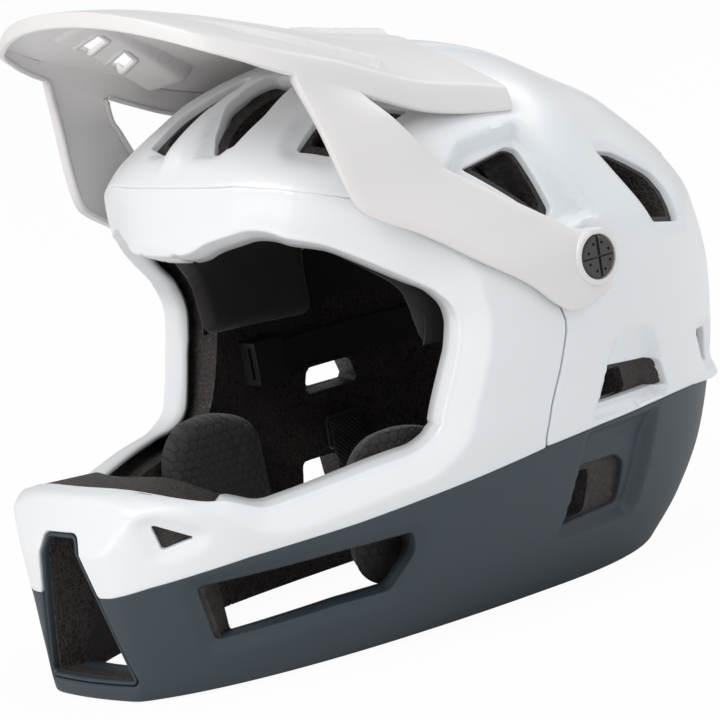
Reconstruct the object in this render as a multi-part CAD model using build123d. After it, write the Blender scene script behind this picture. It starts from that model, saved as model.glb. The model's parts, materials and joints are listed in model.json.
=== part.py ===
from build123d import *
from math import cos, pi, sin
import os

# Downhill bike full face helmet, in millimetres.
# The head centre line is the Z axis while the pieces are made. Front is -Y, the wearer's left is +X.
# At the end everything moves along Y so that the origin is under the middle of the helmet.

# Driving sizes of the outer shell
shell_height = 245.0
chin_reach = 212.0
back_reach = 150.0
half_width = 114.0
panel_foot_reach = 201.0
panel_lean = 6.0

# Walls and layers, from the outside inwards
skin_wall = 2.2
fit_gap = 0.4
liner_depth = 31.0
slip_wall = 0.8
pad_depth = 7.0
full_inset_reach = 100.0
overrun = 12.0
liner_lift = 1.6

# Eye port, seams and vents
port_lip_wall = 2.6
port_lip_depth = 12.0
port_corner = 9.0
seam_gap = 0.6
hem_flare = 6.0
hem_height = 8.0
vent_corner = 3.0
vent_ledge = 3.0
vent_start = 22.0
jaw_vent_start = 36.0

# Visor
visor_gap = 1.3
visor_wall = 2.8
visor_front_reach = 156.0
visor_front_height = 288.0
visor_ramp_share = 0.262
visor_half_width = 84.0
visor_thickness = 2.6
rim_wall = 2.4
rim_front_height = 6.0
rim_side_height = 12.0
spine_rise = 2.6
channel_wall = 1.6
channel_depth = 6.0

# Visor pivot and screws
pivot_reach = 14.4
pivot_height = 147.0
pivot_seat = 115.0
pivot_boss_radius = 13.0
pivot_boss_depth = 6.0
pivot_washer_wall = 1.0
pivot_ring_radius = 12.4
pivot_ring_height = 5.0
screw_head_radius = 9.3
screw_head_height = 3.2
screw_sink = 3.0
screw_shaft_radius = 4.0
screw_shaft_length = 15.0
screw_slot_width = 1.6
screw_slot_depth = 1.2
screw_dot_radius = 0.7
screw_dot_ring = 6.3
running_gap = 0.08
insert_radius = 6.0
insert_length = 14.0
insert_flange_radius = 9.0
insert_flange_wall = 1.6

# Cheek pads
cheek_face_inset = 27.0
cheek_crown = 3.0
cheek_draw = 4.0
cheek_corner = 13.0
cheek_channel_width = 2.4
cheek_channel_depth = 1.6
plate_wall = 1.4
stud_radius = 4.5
stud_length = 3.0
socket_radius = 7.0
socket_length = 5.0

# Fit system
fit_band_inset = 8.0
fit_band_wall = 1.4
fit_band_height = 14.0
fit_level = 104.0
fit_band_start = 30.0
fit_travel = 8.0
guide_play = 1.7
guide_wall = 1.4
guide_length = 18.0
cradle_wall = 2.0
cradle_half_width = 27.0
cradle_foot = 60.0
dial_level = 76.0
dial_radius = 12.0
dial_width = 5.2
dial_rib_count = 24
dial_rib_radius = 0.7
axle_radius = 2.0
axle_head_radius = 4.0
axle_head_height = 1.4

# Chin straps and buckle
strap_width = 20.0
strap_wall = 1.6
strap_line = 18.0
anchor_level = 62.0
anchor_inset = 3.0
anchor_plate_wall = 1.5
anchor_plate_height = 16.0
anchor_post_radius = 3.0
anchor_post_length = 14.0
strap_knee_span = 54.0
strap_knee_level = 22.0
buckle_level = 9.5
buckle_length = 27.0
buckle_width = 24.0
buckle_height = 10.0
buckle_corner = 2.0
tongue_grip_length = 15.0
tongue_length = 15.0
tongue_width = 15.0
tongue_wall = 2.8
button_radius = 4.2
button_height = 4.6
button_proud = 0.8
button_travel = 1.5
keeper_length = 9.0
keeper_wall = 1.6

# One row for each level of the shell:
# height, front reach, rear reach and half width as shares, the two powers of the outline, liner depth share
section_shares = [
    (-0.049, 0.975, 0.615, 0.612, 2.3, 2.3, 0.36),
    (0.0, 0.981, 0.687, 0.675, 2.3, 2.3, 0.45),
    (0.082, 0.990, 0.807, 0.781, 2.1, 2.3, 0.60),
    (0.188, 0.995, 0.907, 0.877, 2.0, 2.3, 0.80),
    (0.327, 1.0, 0.973, 0.947, 2.0, 2.3, 0.90),
    (0.388, 0.887, 0.993, 0.965, 2.0, 2.3, 0.95),
    (0.490, 0.783, 1.0, 0.991, 2.1, 2.3, 1.0),
    (0.612, 0.693, 0.960, 1.0, 2.2, 2.3, 1.0),
    (0.735, 0.651, 0.873, 0.947, 2.2, 2.3, 1.0),
    (0.837, 0.575, 0.720, 0.851, 2.2, 2.3, 1.0),
    (0.906, 0.472, 0.527, 0.719, 2.15, 2.25, 1.0),
    (0.959, 0.330, 0.307, 0.526, 2.1, 2.1, 1.0),
    (0.988, 0.189, 0.133, 0.316, 2.0, 2.0, 1.0),
    (1.0, 0.060, 0.050, 0.090, 2.0, 2.0, 1.0),
]

# Side outlines: the first number is a share of the reach on its side of the head, the second of the height
port_shares = [
    (-1.14, 0.755),
    (-0.60, 0.770),
    (-0.50, 0.750),
    (-0.40, 0.678),
    (-0.30, 0.605),
    (-0.272, 0.540),
    (-0.315, 0.420),
    (-0.375, 0.345),
    (-0.50, 0.325),
    (-0.71, 0.302),
    (-0.86, 0.372),
    (-1.14, 0.392),
]
jaw_split_shares = [
    (-1.10, 0.192),
    (-0.95, 0.195),
    (-0.40, 0.257),
    (-0.09, 0.290),
    (0.33, 0.300),
    (1.14, 0.268),
]
face_seam_shares = [
    (-1.14, 0.842),
    (-0.57, 0.841),
    (-0.49, 0.824),
    (-0.39, 0.788),
    (-0.32, 0.742),
    (-0.07, 0.575),
    (-0.015, 0.520),
    (-0.015, 0.480),
    (-0.07, 0.365),
    (-0.09, 0.280),
    (-0.09, 0.180),
]
jaw_vent_shares = [(-0.835, 0.190), (-0.575, 0.203), (-0.405, 0.196), (-0.450, 0.106), (-0.81, 0.092)]
nape_vent_shares = [(0.0, 0.224), (-0.045, 0.122), (0.193, 0.126), (0.213, 0.216)]
temple_vent_shares = [(-0.185, 0.814), (-0.035, 0.830), (0.020, 0.695), (-0.035, 0.690)]
quarter_vent_shares = [(0.300, 0.776), (0.387, 0.764), (0.545, 0.705), (0.607, 0.605), (0.420, 0.618)]
ear_vent_shares = [(0.125, 0.397), (0.320, 0.394), (0.377, 0.328), (0.075, 0.330)]
hind_vent_shares = [(0.615, 0.396), (0.685, 0.396), (0.765, 0.325), (0.695, 0.320)]
chin_nick_shares = [(-0.905, 0.312), (-0.835, 0.272), (-0.885, 0.264)]

# Plan outlines: shares of the half width and of the front reach
brow_vent_shares = [(0.155, -0.488), (0.250, -0.480), (0.250, -0.400), (0.155, -0.260), (0.070, -0.280)]
brow_vent_shares += [(0.062, -0.350)]
arm_vent_shares = [(0.490, -0.425), (0.450, -0.340), (0.610, -0.378)]
crown_vent_shares = [(0.585, -0.218), (0.650, -0.178), (0.650, -0.232)]

# Front outlines: shares of the half width and of the height
chin_vent_shares = [(0.0, 0.298), (0.105, 0.298), (0.225, 0.035), (0.0, 0.035)]
back_vent_shares = [(0.150, 0.715), (0.340, 0.680), (0.300, 0.580), (0.140, 0.600)]

# Visor envelope: height, front reach, rear reach, half width as shares, and its power
visor_shares = [
    (0.40, 0.824, 1.000, 1.004, 2.1),
    (0.53, 0.756, 1.000, 1.014, 2.2),
    (0.61, 0.739, 0.990, 1.018, 2.2),
    (0.69, 0.774, 0.950, 0.980, 2.3),
    (0.79, 0.890, 0.920, 0.910, 2.4),
    (0.88, 1.008, 0.870, 0.866, 2.4),
    (1.02, 1.220, 0.810, 0.770, 2.6),
    (1.20, 1.314, 0.790, 0.698, 2.6),
]
arm_shares = [
    (-0.52, 1.075),
    (-0.447, 0.786),
    (-0.400, 0.750),
    (-0.330, 0.712),
    (-0.095, 0.572),
    (-0.030, 0.522),
    (0.010, 0.516),
    (0.090, 0.520),
    (0.145, 0.552),
    (0.145, 0.640),
    (0.030, 0.653),
    (-0.230, 0.800),
    (-0.275, 0.860),
    (-0.345, 0.955),
    (-0.345, 1.045),
]
# Visor plan: shares of the visor's half width and of its front reach
visor_plan_shares = [
    (0.0, -1.0),
    (0.30, -0.985),
    (0.57, -0.945),
    (0.80, -0.895),
    (0.91, -0.860),
    (0.99, -0.775),
    (1.045, -0.680),
    (1.075, -0.45),
    (1.095, -0.15),
    (1.095, 0.0),
    (1.06, 0.050),
    (0.96, 0.055),
    (0.83, 0.020),
    (0.68, 0.000),
    (0.40, 0.020),
    (0.0, 0.060),
]
# Visor stations: reach share, drop of the edge as a share of the half width, rim height share
visor_station_shares = [
    (-1.03, 0.120, 0.0),
    (-0.86, 0.138, 0.1),
    (-0.66, 0.160, 0.6),
    (-0.42, 0.212, 0.9),
    (-0.25, 0.240, 1.0),
    (-0.10, 0.250, 1.0),
    (0.14, 0.300, 1.0),
]
spine_shares = [(0.0, -0.20), (0.10, -0.20), (0.21, 0.02), (0.17, 0.13), (0.0, 0.13)]
channel_shares = [(0.24, -0.885), (0.50, -0.845), (0.93, -0.370), (0.71, -0.345)]
front_slot_shares = [(0.569, -0.744), (0.398, -0.699), (0.336, -0.769), (0.507, -0.813)]
rear_slot_shares = [(0.748, -0.546), (0.576, -0.501), (0.514, -0.570), (0.686, -0.615)]

# Cheek pad outline, with the same two scales as the side outlines
cheek_shares = [
    (-0.455, 0.115),
    (-0.470, 0.300),
    (-0.400, 0.372),
    (-0.250, 0.378),
    (-0.115, 0.345),
    (-0.085, 0.080),
    (-0.250, 0.062),
]
stud_shares = [(-0.370, 0.280), (-0.180, 0.280), (-0.270, 0.130)]
# Soft liner outlines, on the side scales
forehead_shares = [
    (-0.70, 0.795),
    (-0.50, 0.785),
    (-0.385, 0.700),
    (-0.270, 0.605),
    (-0.245, 0.500),
    (0.100, 0.480),
    (0.100, 0.680),
    (-0.300, 0.760),
    (-0.430, 0.860),
    (-0.70, 0.880),
]
nape_pad_shares = [(0.25, 0.055), (1.10, 0.040), (1.10, 0.200), (0.25, 0.205)]
crown_pad_shares = [(0.0, -0.43), (0.06, -0.43), (0.06, -0.20), (0.45, -0.05)]
crown_pad_shares += [(0.45, 0.12), (0.06, 0.20), (0.06, 0.48), (0.0, 0.48)]
crown_pad_floor_share = 0.74
slip_floor_share = 0.50
tab_shares = [(0.02, 0.600), (0.115, 0.600), (0.115, 0.625), (0.02, 0.625)]
section_points = 28


def inset(reach, depth):
    """A reach drawn in by a depth, and by less where the section is small."""
    return reach - depth * min(1.0, reach / full_inset_reach)


def outline(row, depth, level):
    """One closed level of the shell, drawn in by a depth."""
    front, rear, half, front_power, rear_power = row[1:6]
    front_reach = inset(front * chin_reach, depth)
    rear_reach = inset(rear * back_reach, depth)
    half_reach = inset(half * half_width, depth)
    points = []
    for step in range(section_points):
        angle = 2 * pi * step / section_points
        across, along = sin(angle), -cos(angle)
        power = front_power if along > 0 else rear_power
        reach = front_reach if along > 0 else rear_reach
        x = half_reach * abs(across) ** (2 / power) * (1 if across > 0 else -1)
        y = -reach * abs(along) ** (2 / power) * (1 if along > 0 else -1)
        points.append((x, y, level))
    stops = [step / section_points for step in range(section_points + 1)]
    ring = Edge.make_spline([Vector(*point) for point in points], periodic=True, parameters=stops)
    return Face(Wire([ring]))


def shell_body(depth, lined=False):
    """The outer form drawn in by a depth, or by the liner's own depth too. It runs on under the foot."""
    faces = []
    extra = liner_depth if lined else 0.0
    for row in section_shares:
        top_drop = (depth + extra) * max(0.0, row[0]) ** 6
        faces.append(outline(row, depth + row[6] * extra, row[0] * shell_height - top_drop))
    return loft(faces) - panel_block(depth + extra)


def level_block(low, high):
    """Everything between two heights."""
    far = 2 * chin_reach
    return across_block([(-far, low), (far, low), (far, high), (-far, high)])


def panel_block(depth):
    """Everything in front of the chin's flat front panel."""
    foot = depth - panel_foot_reach
    head = foot - panel_lean
    far = -2 * chin_reach
    slope_height = 0.36 * shell_height
    points = [(foot, 0.0), (head, slope_height), (head, shell_height), (far, shell_height)]
    points += [(far, -2 * overrun), (foot, -2 * overrun)]
    return across_block(points)


def side_point(share):
    reach = chin_reach if share[0] < 0 else back_reach
    return (share[0] * reach, share[1] * shell_height)


def plan_point(share):
    return (share[0] * half_width, share[1] * (chin_reach if share[1] < 0 else back_reach))


def front_point(share):
    return (share[0] * half_width, share[1] * shell_height)


def flat(points, grow=0.0, corner=0.0):
    """A flat face through points, rounded at its corners and grown by an offset."""
    face = Sketch() + make_face(Polyline(*points, close=True))
    if corner:
        face = fillet(face.vertices(), corner)
    if grow:
        face = offset(face, grow, kind=Kind.INTERSECTION if grow > 0 and not corner else Kind.ARC)
    return face


def across_block(points, grow=0.0, corner=0.0):
    """A block through the whole helmet from side to side."""
    width = 2 * half_width
    return extrude(Plane.YZ * flat(points, grow, corner), width, both=True)


def side_block(points, inner, outer, grow=0.0, corner=0.0):
    """A block from one depth to another on the wearer's left."""
    return extrude(Plane.YZ.offset(inner) * flat(points, grow, corner), outer - inner)


def both_sides(piece):
    return piece + mirror(piece, about=Plane.YZ)


def plan_block(points, low, high, grow=0.0, corner=0.0):
    """An upright block over a plan outline."""
    return extrude(Plane.XY.offset(low) * flat(points, grow, corner), high - low)


def front_block(points, near, far, grow=0.0, corner=0.0):
    """A block that runs along Y from near to far over an outline seen from the front."""
    face = Plane.XZ.offset(-near) * flat(points, grow, corner)
    return extrude(face, near - far)


def mirrored_points(shares, place):
    """A closed outline from its right half, whose first and last points lie on the middle line."""
    half = [place(share) for share in shares]
    return half + [(-x, y) for x, y in reversed(half[1:-1])]


def level_row(height):
    """The section shares at any height, between two rows."""
    share = height / shell_height
    for low, high in zip(section_shares, section_shares[1:]):
        if low[0] <= share <= high[0]:
            mix = (share - low[0]) / (high[0] - low[0])
            return [a + (b - a) * mix for a, b in zip(low, high)]
    return list(section_shares[-1])


def wall_at(y, height, depth):
    """How far out the liner's inner wall lies, drawn in by a further depth."""
    row = level_row(height)
    inward = depth + row[6] * liner_depth
    if y < 0:
        reach, power = inset(row[1] * chin_reach, inward), row[4]
    else:
        reach, power = inset(row[2] * back_reach, inward), row[5]
    half = inset(row[3] * half_width, inward)
    return half * max(0.0, 1 - abs(y / reach) ** power) ** (1 / power)


def rear_wall_at(height, depth):
    row = level_row(height)
    return inset(row[2] * back_reach, depth + row[6] * liner_depth)


def side_vents(grow):
    """The open side vents of both sides, grown or drawn in by a ledge."""
    tables = [nape_vent_shares, temple_vent_shares, quarter_vent_shares, ear_vent_shares, hind_vent_shares]
    cutters = []
    for table in tables:
        points = [side_point(share) for share in table]
        cutters.append(side_block(points, vent_start, 2 * half_width, grow, vent_corner))
    jaw = [side_point(share) for share in jaw_vent_shares]
    return cutters + [side_block(jaw, jaw_vent_start, 2 * half_width, grow, vent_corner)]


def top_vents(grow):
    cutters = []
    for table in (brow_vent_shares, arm_vent_shares):
        points = [plan_point(share) for share in table]
        cutters.append(plan_block(points, 0.6 * shell_height, 1.2 * shell_height, grow, vent_corner / 2))
    points = [front_point(share) for share in back_vent_shares]
    cutters.append(front_block(points, 2 * back_reach, 0.3 * back_reach, grow, vent_corner))
    return cutters


def blind_vents(grow):
    """Small vents that end in the foam."""
    nick = [side_point(share) for share in chin_nick_shares]
    crown = [plan_point(share) for share in crown_vent_shares]
    return [
        side_block(nick, 0.3 * half_width, half_width, grow, 0.0),
        plan_block(crown, 0.85 * shell_height, 1.1 * shell_height, grow, 0.0),
    ]


def chin_vent(grow):
    points = mirrored_points(chin_vent_shares, front_point)
    return front_block(points, -0.6 * chin_reach, -1.2 * chin_reach, grow, vent_corner)


def vented(piece, grow, blind=True):
    """A layer of the helmet with all its vents cut."""
    cutters = side_vents(grow) + top_vents(grow)
    if blind:
        cutters += blind_vents(grow)
    cutters += [mirror(cutter, about=Plane.YZ) for cutter in cutters]
    return piece - (cutters + [chin_vent(grow)])


def port_block(grow):
    return across_block([side_point(share) for share in port_shares], grow, port_corner)


def jaw_block(grow):
    """Everything below the line where the white shells end."""
    line = [side_point(share) for share in jaw_split_shares]
    foot = -2 * overrun
    points = line + [(line[-1][0], foot), (line[0][0], foot)]
    return across_block([(y, z + grow if z > foot else z) for y, z in points])


def face_block(grow):
    """Everything in front of the seam between crown shell and face frame."""
    line = [side_point(share) for share in face_seam_shares]
    low = line[-1][1]
    points = line + [(-1.14 * chin_reach, low)]
    return across_block(points, grow)


def make_shells():
    outer = shell_body(0.0) - level_block(-2 * overrun, 0.0)
    skin = outer - shell_body(skin_wall)
    port = port_block(0.0)
    lip = (outer - shell_body(port_lip_depth)) & (port_block(port_lip_wall) - port)
    skin = vented(skin, 0.0) - port
    boss = pivot_disc(pivot_boss_radius, pivot_seat - pivot_boss_depth, pivot_seat)
    bore = pivot_disc(insert_radius + running_gap, 0.5 * half_width, 2 * half_width)
    upper = skin - jaw_block(seam_gap)
    lip = lip - jaw_block(seam_gap)
    frame = (upper & face_block(0.0)) + lip
    crown = upper - face_block(seam_gap) + both_sides(boss) - both_sides(bore)
    crown = crown + rear_hem()
    jaw = skin & jaw_block(0.0)
    return crown, frame, jaw


def rear_hem():
    """The flared hem at the rear foot of the crown shell."""
    foot = jaw_split_shares[-1][1] * shell_height
    start = 0.45 * back_reach
    far = 1.3 * back_reach
    rise = 0.030 * shell_height
    low = foot + seam_gap
    points = [(start, low + rise), (far, low), (far, low + hem_height), (start, low + rise + hem_height / 2)]
    ring = shell_body(-hem_flare) - shell_body(skin_wall / 2)
    front = [(0.0, 0.0), (start, 0.0), (0.62 * back_reach, low + rise)]
    front += [(start, shell_height), (0.0, shell_height)]
    return (ring & across_block(points)) - across_block(front)


def make_liners():
    depth = skin_wall + fit_gap
    liner = shell_body(depth) - level_block(-2 * overrun, liner_lift) - shell_body(0.0, True)
    liner = vented(liner, -vent_ledge, False) - port_block(port_lip_wall + fit_gap)
    pocket_foot = pivot_seat - insert_length - 3 * insert_flange_wall
    pocket = pivot_disc(insert_flange_radius + fit_gap, pocket_foot, 2 * half_width)
    room_foot = pivot_seat - pivot_boss_depth - fit_gap
    boss_room = pivot_disc(pivot_boss_radius + fit_gap, room_foot, 2 * half_width)
    liner = liner - both_sides(pocket) - both_sides(boss_room)
    for share in stud_shares:
        liner -= both_sides(stud_disc(share, socket_radius + fit_gap, -socket_length - fit_gap, overrun))
    liner -= both_sides(anchor_post(fit_gap))
    far = 2 * chin_reach
    cut = -0.36 * chin_reach
    ceiling = 0.5 * shell_height
    chin_box = [(-far, -overrun), (cut, -overrun), (cut, ceiling), (-far, ceiling)]
    return liner - across_block(chin_box, seam_gap), liner & across_block(chin_box)


def pivot_disc(radius, inner, outer):
    return Plane.YZ.offset(inner) * Pos(pivot_reach, pivot_height) * extrude(Circle(radius), outer - inner)


def visor_envelope(depth):
    """The form that the visor's arms follow, outside the shell by the visor gap."""
    faces = []
    for height, front, rear, half, power in visor_shares:
        row = (height, front, rear, half, power, power)
        faces.append(outline(row, depth - visor_gap, height * shell_height))
    return loft(faces)


def visor_station(share, drop_share, height_share, rise, thick):
    """One upright slice of the blade, an arched strip across the helmet."""
    y = share * visor_front_reach
    top = visor_front_height - visor_ramp_share * (y + visor_front_reach) + rise
    half = 1.3 * visor_half_width
    drop = drop_share * visor_half_width * (half / visor_half_width) ** 2
    if not thick:
        thick = rim_front_height + (rim_side_height - rim_front_height) * height_share
    upper = ThreePointArc((-half, y, top - drop), (0, y, top), (half, y, top - drop))
    low = top - thick
    lower = ThreePointArc((half, y, low - drop), (0, y, low), (-half, y, low - drop))
    right = Line(upper @ 1, lower @ 0)
    left = Line(lower @ 1, upper @ 0)
    return Face(Wire([upper, right, lower, left]))


def visor_layer(rise, thick):
    """A layer along the blade, from its top raised by a rise down by a thickness."""
    return loft([visor_station(*row, rise, thick) for row in visor_station_shares])


def visor_point(share):
    return (share[0] * visor_half_width, share[1] * visor_front_reach)


def visor_plan(shares, grow=0.0):
    points = mirrored_points(shares, visor_point)
    return plan_block(points, 0.5 * shell_height, 1.5 * shell_height, grow)


def visor_block(shares, grow=0.0):
    points = [visor_point(share) for share in shares]
    return plan_block(points, 0.5 * shell_height, 1.5 * shell_height, grow)


def make_visor():
    plan = visor_plan(visor_plan_shares)
    blade = visor_layer(0.0, visor_thickness) & plan
    seat = 0.2 * visor_thickness
    rim = visor_layer(-seat, 0.0) & (plan - visor_plan(visor_plan_shares, -rim_wall))
    arms_outline = [side_point(share) for share in arm_shares]
    arms = visor_envelope(-visor_wall) - visor_envelope(0.0)
    arms = arms & side_block(arms_outline, 0.5 * half_width, 2 * half_width)
    above = 3 * overrun
    arms = arms - visor_layer(above, above)
    ring_foot = pivot_seat + pivot_washer_wall
    ring = pivot_disc(pivot_ring_radius, ring_foot, ring_foot + pivot_ring_height)
    visor = blade + rim + both_sides(arms + ring)
    recess_foot = ring_foot + pivot_ring_height - screw_sink
    recess = pivot_disc(screw_head_radius + fit_gap, recess_foot, 2 * half_width)
    bore = pivot_disc(screw_shaft_radius + running_gap, 0.5 * half_width, 2 * half_width)
    room = pivot_disc(pivot_ring_radius, 0.5 * half_width, ring_foot)
    visor = visor - both_sides(recess) - both_sides(bore) - both_sides(room)
    spine = visor_layer(spine_rise, visor_thickness + spine_rise) & visor_plan(spine_shares)
    channel = visor_block(channel_shares)
    floor = visor_layer(-channel_depth, visor_thickness) & channel
    channel_walls = channel - visor_block(channel_shares, -channel_wall)
    walls = visor_layer(0.0, channel_depth + visor_thickness) & channel_walls
    visor = visor + spine + both_sides(floor + walls)
    slots = [visor_block(front_slot_shares), visor_block(rear_slot_shares)]
    shell_room = shell_body(-visor_gap)
    return visor - (slots + [mirror(slot, about=Plane.YZ) for slot in slots] + [shell_room])


def make_screw():
    """One visor screw with a domed head, two crossed slots and a ring of small dots."""
    foot = pivot_seat + pivot_washer_wall + pivot_ring_height - screw_sink + fit_gap / 2
    head = pivot_disc(screw_head_radius, foot, foot + screw_head_height)
    head = chamfer(head.edges().group_by(Axis.X)[-1], 0.3 * screw_head_height)
    shaft = pivot_disc(screw_shaft_radius, foot - screw_shaft_length, foot)
    screw = head + shaft
    face = foot + screw_head_height
    place = Pos(face - screw_slot_depth / 2, pivot_reach, pivot_height)
    long = 3 * screw_head_radius
    screw -= place * Box(screw_slot_depth, screw_slot_width, long)
    screw -= place * Box(screw_slot_depth, long, screw_slot_width / 2)
    for step in range(8):
        angle = 2 * pi * (step + 0.5) / 8
        y = pivot_reach + screw_dot_ring * cos(angle)
        z = pivot_height + screw_dot_ring * sin(angle)
        dot = extrude(Circle(screw_dot_radius), overrun)
        screw -= Plane.YZ.offset(face - screw_slot_depth) * Pos(y, z) * dot
    return screw


def make_insert():
    """The flanged nut in the foam that takes the visor screw."""
    barrel = pivot_disc(insert_radius, pivot_seat - insert_length, pivot_seat)
    flange_foot = pivot_seat - insert_length - insert_flange_wall
    flange = pivot_disc(insert_flange_radius, flange_foot, pivot_seat - insert_length)
    return barrel + flange - pivot_disc(screw_shaft_radius + running_gap, 0.5 * half_width, 2 * half_width)


def make_washer():
    outer = pivot_disc(pivot_ring_radius, pivot_seat, pivot_seat + pivot_washer_wall)
    return outer - pivot_disc(screw_shaft_radius + running_gap, 0.5 * half_width, 2 * half_width)


def stud_disc(share, radius, low, high):
    """A disc behind a cheek pad, at depths measured inwards from the foam's wall."""
    y, z = side_point(share)
    wall = wall_at(y, z, 0.0)
    start = wall - high
    return Plane.YZ.offset(start) * Pos(y, z) * extrude(Circle(radius), high - low)


def make_sockets():
    pieces = []
    for share in stud_shares:
        body = stud_disc(share, socket_radius, -socket_length, -0.2 * socket_length) - shell_body(0.0, True)
        pieces.append(body - stud_disc(share, stud_radius + fit_gap, -socket_length + plate_wall, overrun))
    return pieces


def make_studs(grow=0.0):
    reach = fit_gap + plate_wall / 2 + grow
    return [stud_disc(share, stud_radius + grow, -stud_length, reach) for share in stud_shares]


def cheek_outline(grow):
    points = [side_point(share) for share in cheek_shares]
    face = flat(points, 0.0, cheek_corner)
    return offset(face, grow) if grow else face


def make_cheek_plate():
    band = shell_body(fit_gap, True) - shell_body(fit_gap + plate_wall, True)
    plate = band & extrude(Plane.YZ.offset(vent_start) * cheek_outline(-3 * cheek_draw), half_width)
    for stud in make_studs():
        plate -= stud
    return plate


def make_cheek_pad():
    """A cheek cushion: drawn in at its back and its crown, with one stitched channel round its face."""
    centre_wall = wall_at(-0.27 * chin_reach, 0.2 * shell_height, 0.0)
    face = centre_wall - cheek_face_inset
    stations = [
        (centre_wall + overrun, -cheek_draw / 2),
        (centre_wall - 0.25 * cheek_face_inset, 0.0),
        (face + 2.2 * cheek_crown, -cheek_draw / 4),
        (face + cheek_crown, -cheek_draw),
        (face, -3 * cheek_draw),
    ]
    faces = [Plane.YZ.offset(x) * cheek_outline(grow) for x, grow in stations]
    cushion = loft([item.faces()[0] for item in faces], ruled=True)
    cushion = (cushion & shell_body(fit_gap + plate_wall + fit_gap, True)) - make_studs(fit_gap)
    channel = cheek_outline(cheek_channel_width) - cheek_outline(-cheek_channel_depth)
    level = face + 3.2 * cheek_crown
    ring = extrude(Plane.YZ.offset(level) * channel, cheek_channel_width)
    return cushion - ring


def make_soft_parts():
    """The slip liner, its tabs and the pads that line the crown, brow and nape."""
    slip_outer = shell_body(fit_gap, True)
    pad_start = fit_gap + slip_wall + fit_gap
    pad_room = shell_body(pad_start, True)
    pad_core = shell_body(pad_start + pad_depth, True)
    pad_layer = pad_room - pad_core
    high = 1.2 * shell_height
    upper_room = level_block(slip_floor_share * shell_height, high)
    slip = (slip_outer - shell_body(fit_gap + slip_wall, True)) & upper_room
    slip = slip - port_block(3 * port_lip_wall)
    slip = vented(slip, 0.0, False)
    forehead = pad_layer & across_block([side_point(share) for share in forehead_shares])
    nape_outline = [side_point(share) for share in nape_pad_shares]
    nape_layer = slip_outer - shell_body(fit_gap + pad_depth, True)
    nape = nape_layer & across_block(nape_outline, 0.0, cheek_corner)
    crown_floor = crown_pad_floor_share * shell_height
    plan = plan_block(mirrored_points(crown_pad_shares, plan_point), crown_floor, high)
    crown = pad_layer & plan
    crown = crown - across_block([side_point(share) for share in forehead_shares], 2 * fit_gap)
    tab_layer = pad_room - shell_body(pad_start + slip_wall, True)
    tab_outline = [side_point(share) for share in tab_shares]
    tab = tab_layer & side_block(tab_outline, vent_start, half_width)
    forehead = forehead - both_sides(side_block(tab_outline, vent_start, half_width, 2 * fit_gap))
    return slip, vented(crown, 0.0, False), forehead, nape, both_sides(tab)


def fit_strip(start, finish, half_height, inner, outer):
    """A strip of the band layer round the back of the head."""
    low = fit_level - half_height
    high = fit_level + half_height
    layer = shell_body(inner, True) - shell_body(outer, True)
    return layer & across_block([(start, low), (finish, low), (finish, high), (start, high)])


def make_fit_band():
    outer = fit_band_inset + fit_band_wall
    return fit_strip(-fit_band_start, 2 * back_reach, fit_band_height / 2, fit_band_inset, outer)


def make_guides():
    """The two guides on the foam that the ends of the band slide in."""
    start = -fit_band_start - fit_gap
    inner = fit_band_inset + fit_band_wall + guide_play / 2 + guide_wall
    body = fit_strip(start, start + guide_length, fit_band_height / 2 + 2 * guide_wall, fit_gap, inner)
    room_start = start - fit_travel - fit_gap
    room_height = fit_band_height / 2 + fit_gap
    room_finish = start + 2 * guide_length
    room = fit_strip(room_start, room_finish, room_height, fit_band_inset - guide_play, inner - guide_wall)
    return body - room


def make_cradle():
    """The rear cradle inside the band, with a tongue that carries the dial."""
    start = fit_band_inset + fit_band_wall + fit_gap
    layer = shell_body(start, True) - shell_body(start + cradle_wall, True)
    top = fit_level + fit_band_height / 2
    waist = 0.55 * cradle_half_width
    points = [(0.0, cradle_foot), (waist, cradle_foot), (waist, dial_level + dial_radius)]
    points += [(cradle_half_width, fit_level), (cradle_half_width, top), (0.0, top)]
    full = points + [(-x, z) for x, z in reversed(points[1:-1])]
    plate = layer & front_block(full, 2 * back_reach, 0.3 * back_reach, 0.0, 0.0)
    return plate - dial_disc(axle_radius + running_gap, overrun, overrun)


def dial_face():
    """Where the dial's inner face lies, just clear of the cradle at the dial's top edge."""
    return rear_wall_at(dial_level + dial_radius, fit_band_inset + fit_band_wall + fit_gap) + fit_gap


def dial_disc(radius, before, after):
    """A disc on the dial's axis, from before the dial's inner face to after it."""
    start = dial_face() - before
    disc = extrude(Circle(radius), before + after)
    return Plane.XZ.offset(-start - before - after) * Pos(0, dial_level) * disc


def make_dial():
    knob = dial_disc(dial_radius, 0.0, dial_width)
    groove = dial_disc(dial_rib_radius, overrun, overrun)
    for step in range(dial_rib_count):
        angle = 2 * pi * step / dial_rib_count
        knob -= Pos(dial_radius * cos(angle), 0, dial_radius * sin(angle)) * groove
    return knob - dial_disc(axle_radius + running_gap, overrun, overrun)


def make_axle():
    """The dial's pin, whose head sits behind the cradle's sloping wall."""
    depth = fit_band_inset + fit_band_wall + fit_gap + cradle_wall
    seat = dial_face() - rear_wall_at(dial_level - axle_head_radius, depth) + fit_gap
    pin = dial_disc(axle_radius, seat + axle_head_height / 2, dial_width)
    head = dial_disc(axle_head_radius, seat + axle_head_height, -seat)
    return pin + head


def strap_points():
    """The strap's line in the plane across the helmet, from its anchor down and in to the buckle."""
    wall = wall_at(strap_line, anchor_level, 0.0)
    top = (wall - anchor_inset - anchor_plate_wall - strap_wall, anchor_level + strap_width / 3)
    knee = (strap_knee_span, strap_knee_level)
    return top, knee


def strap_end(buckle_face):
    """Where the strap's line ends, so that its round end clears the buckle's face."""
    return buckle_face + fit_gap + strap_wall / 2


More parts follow.
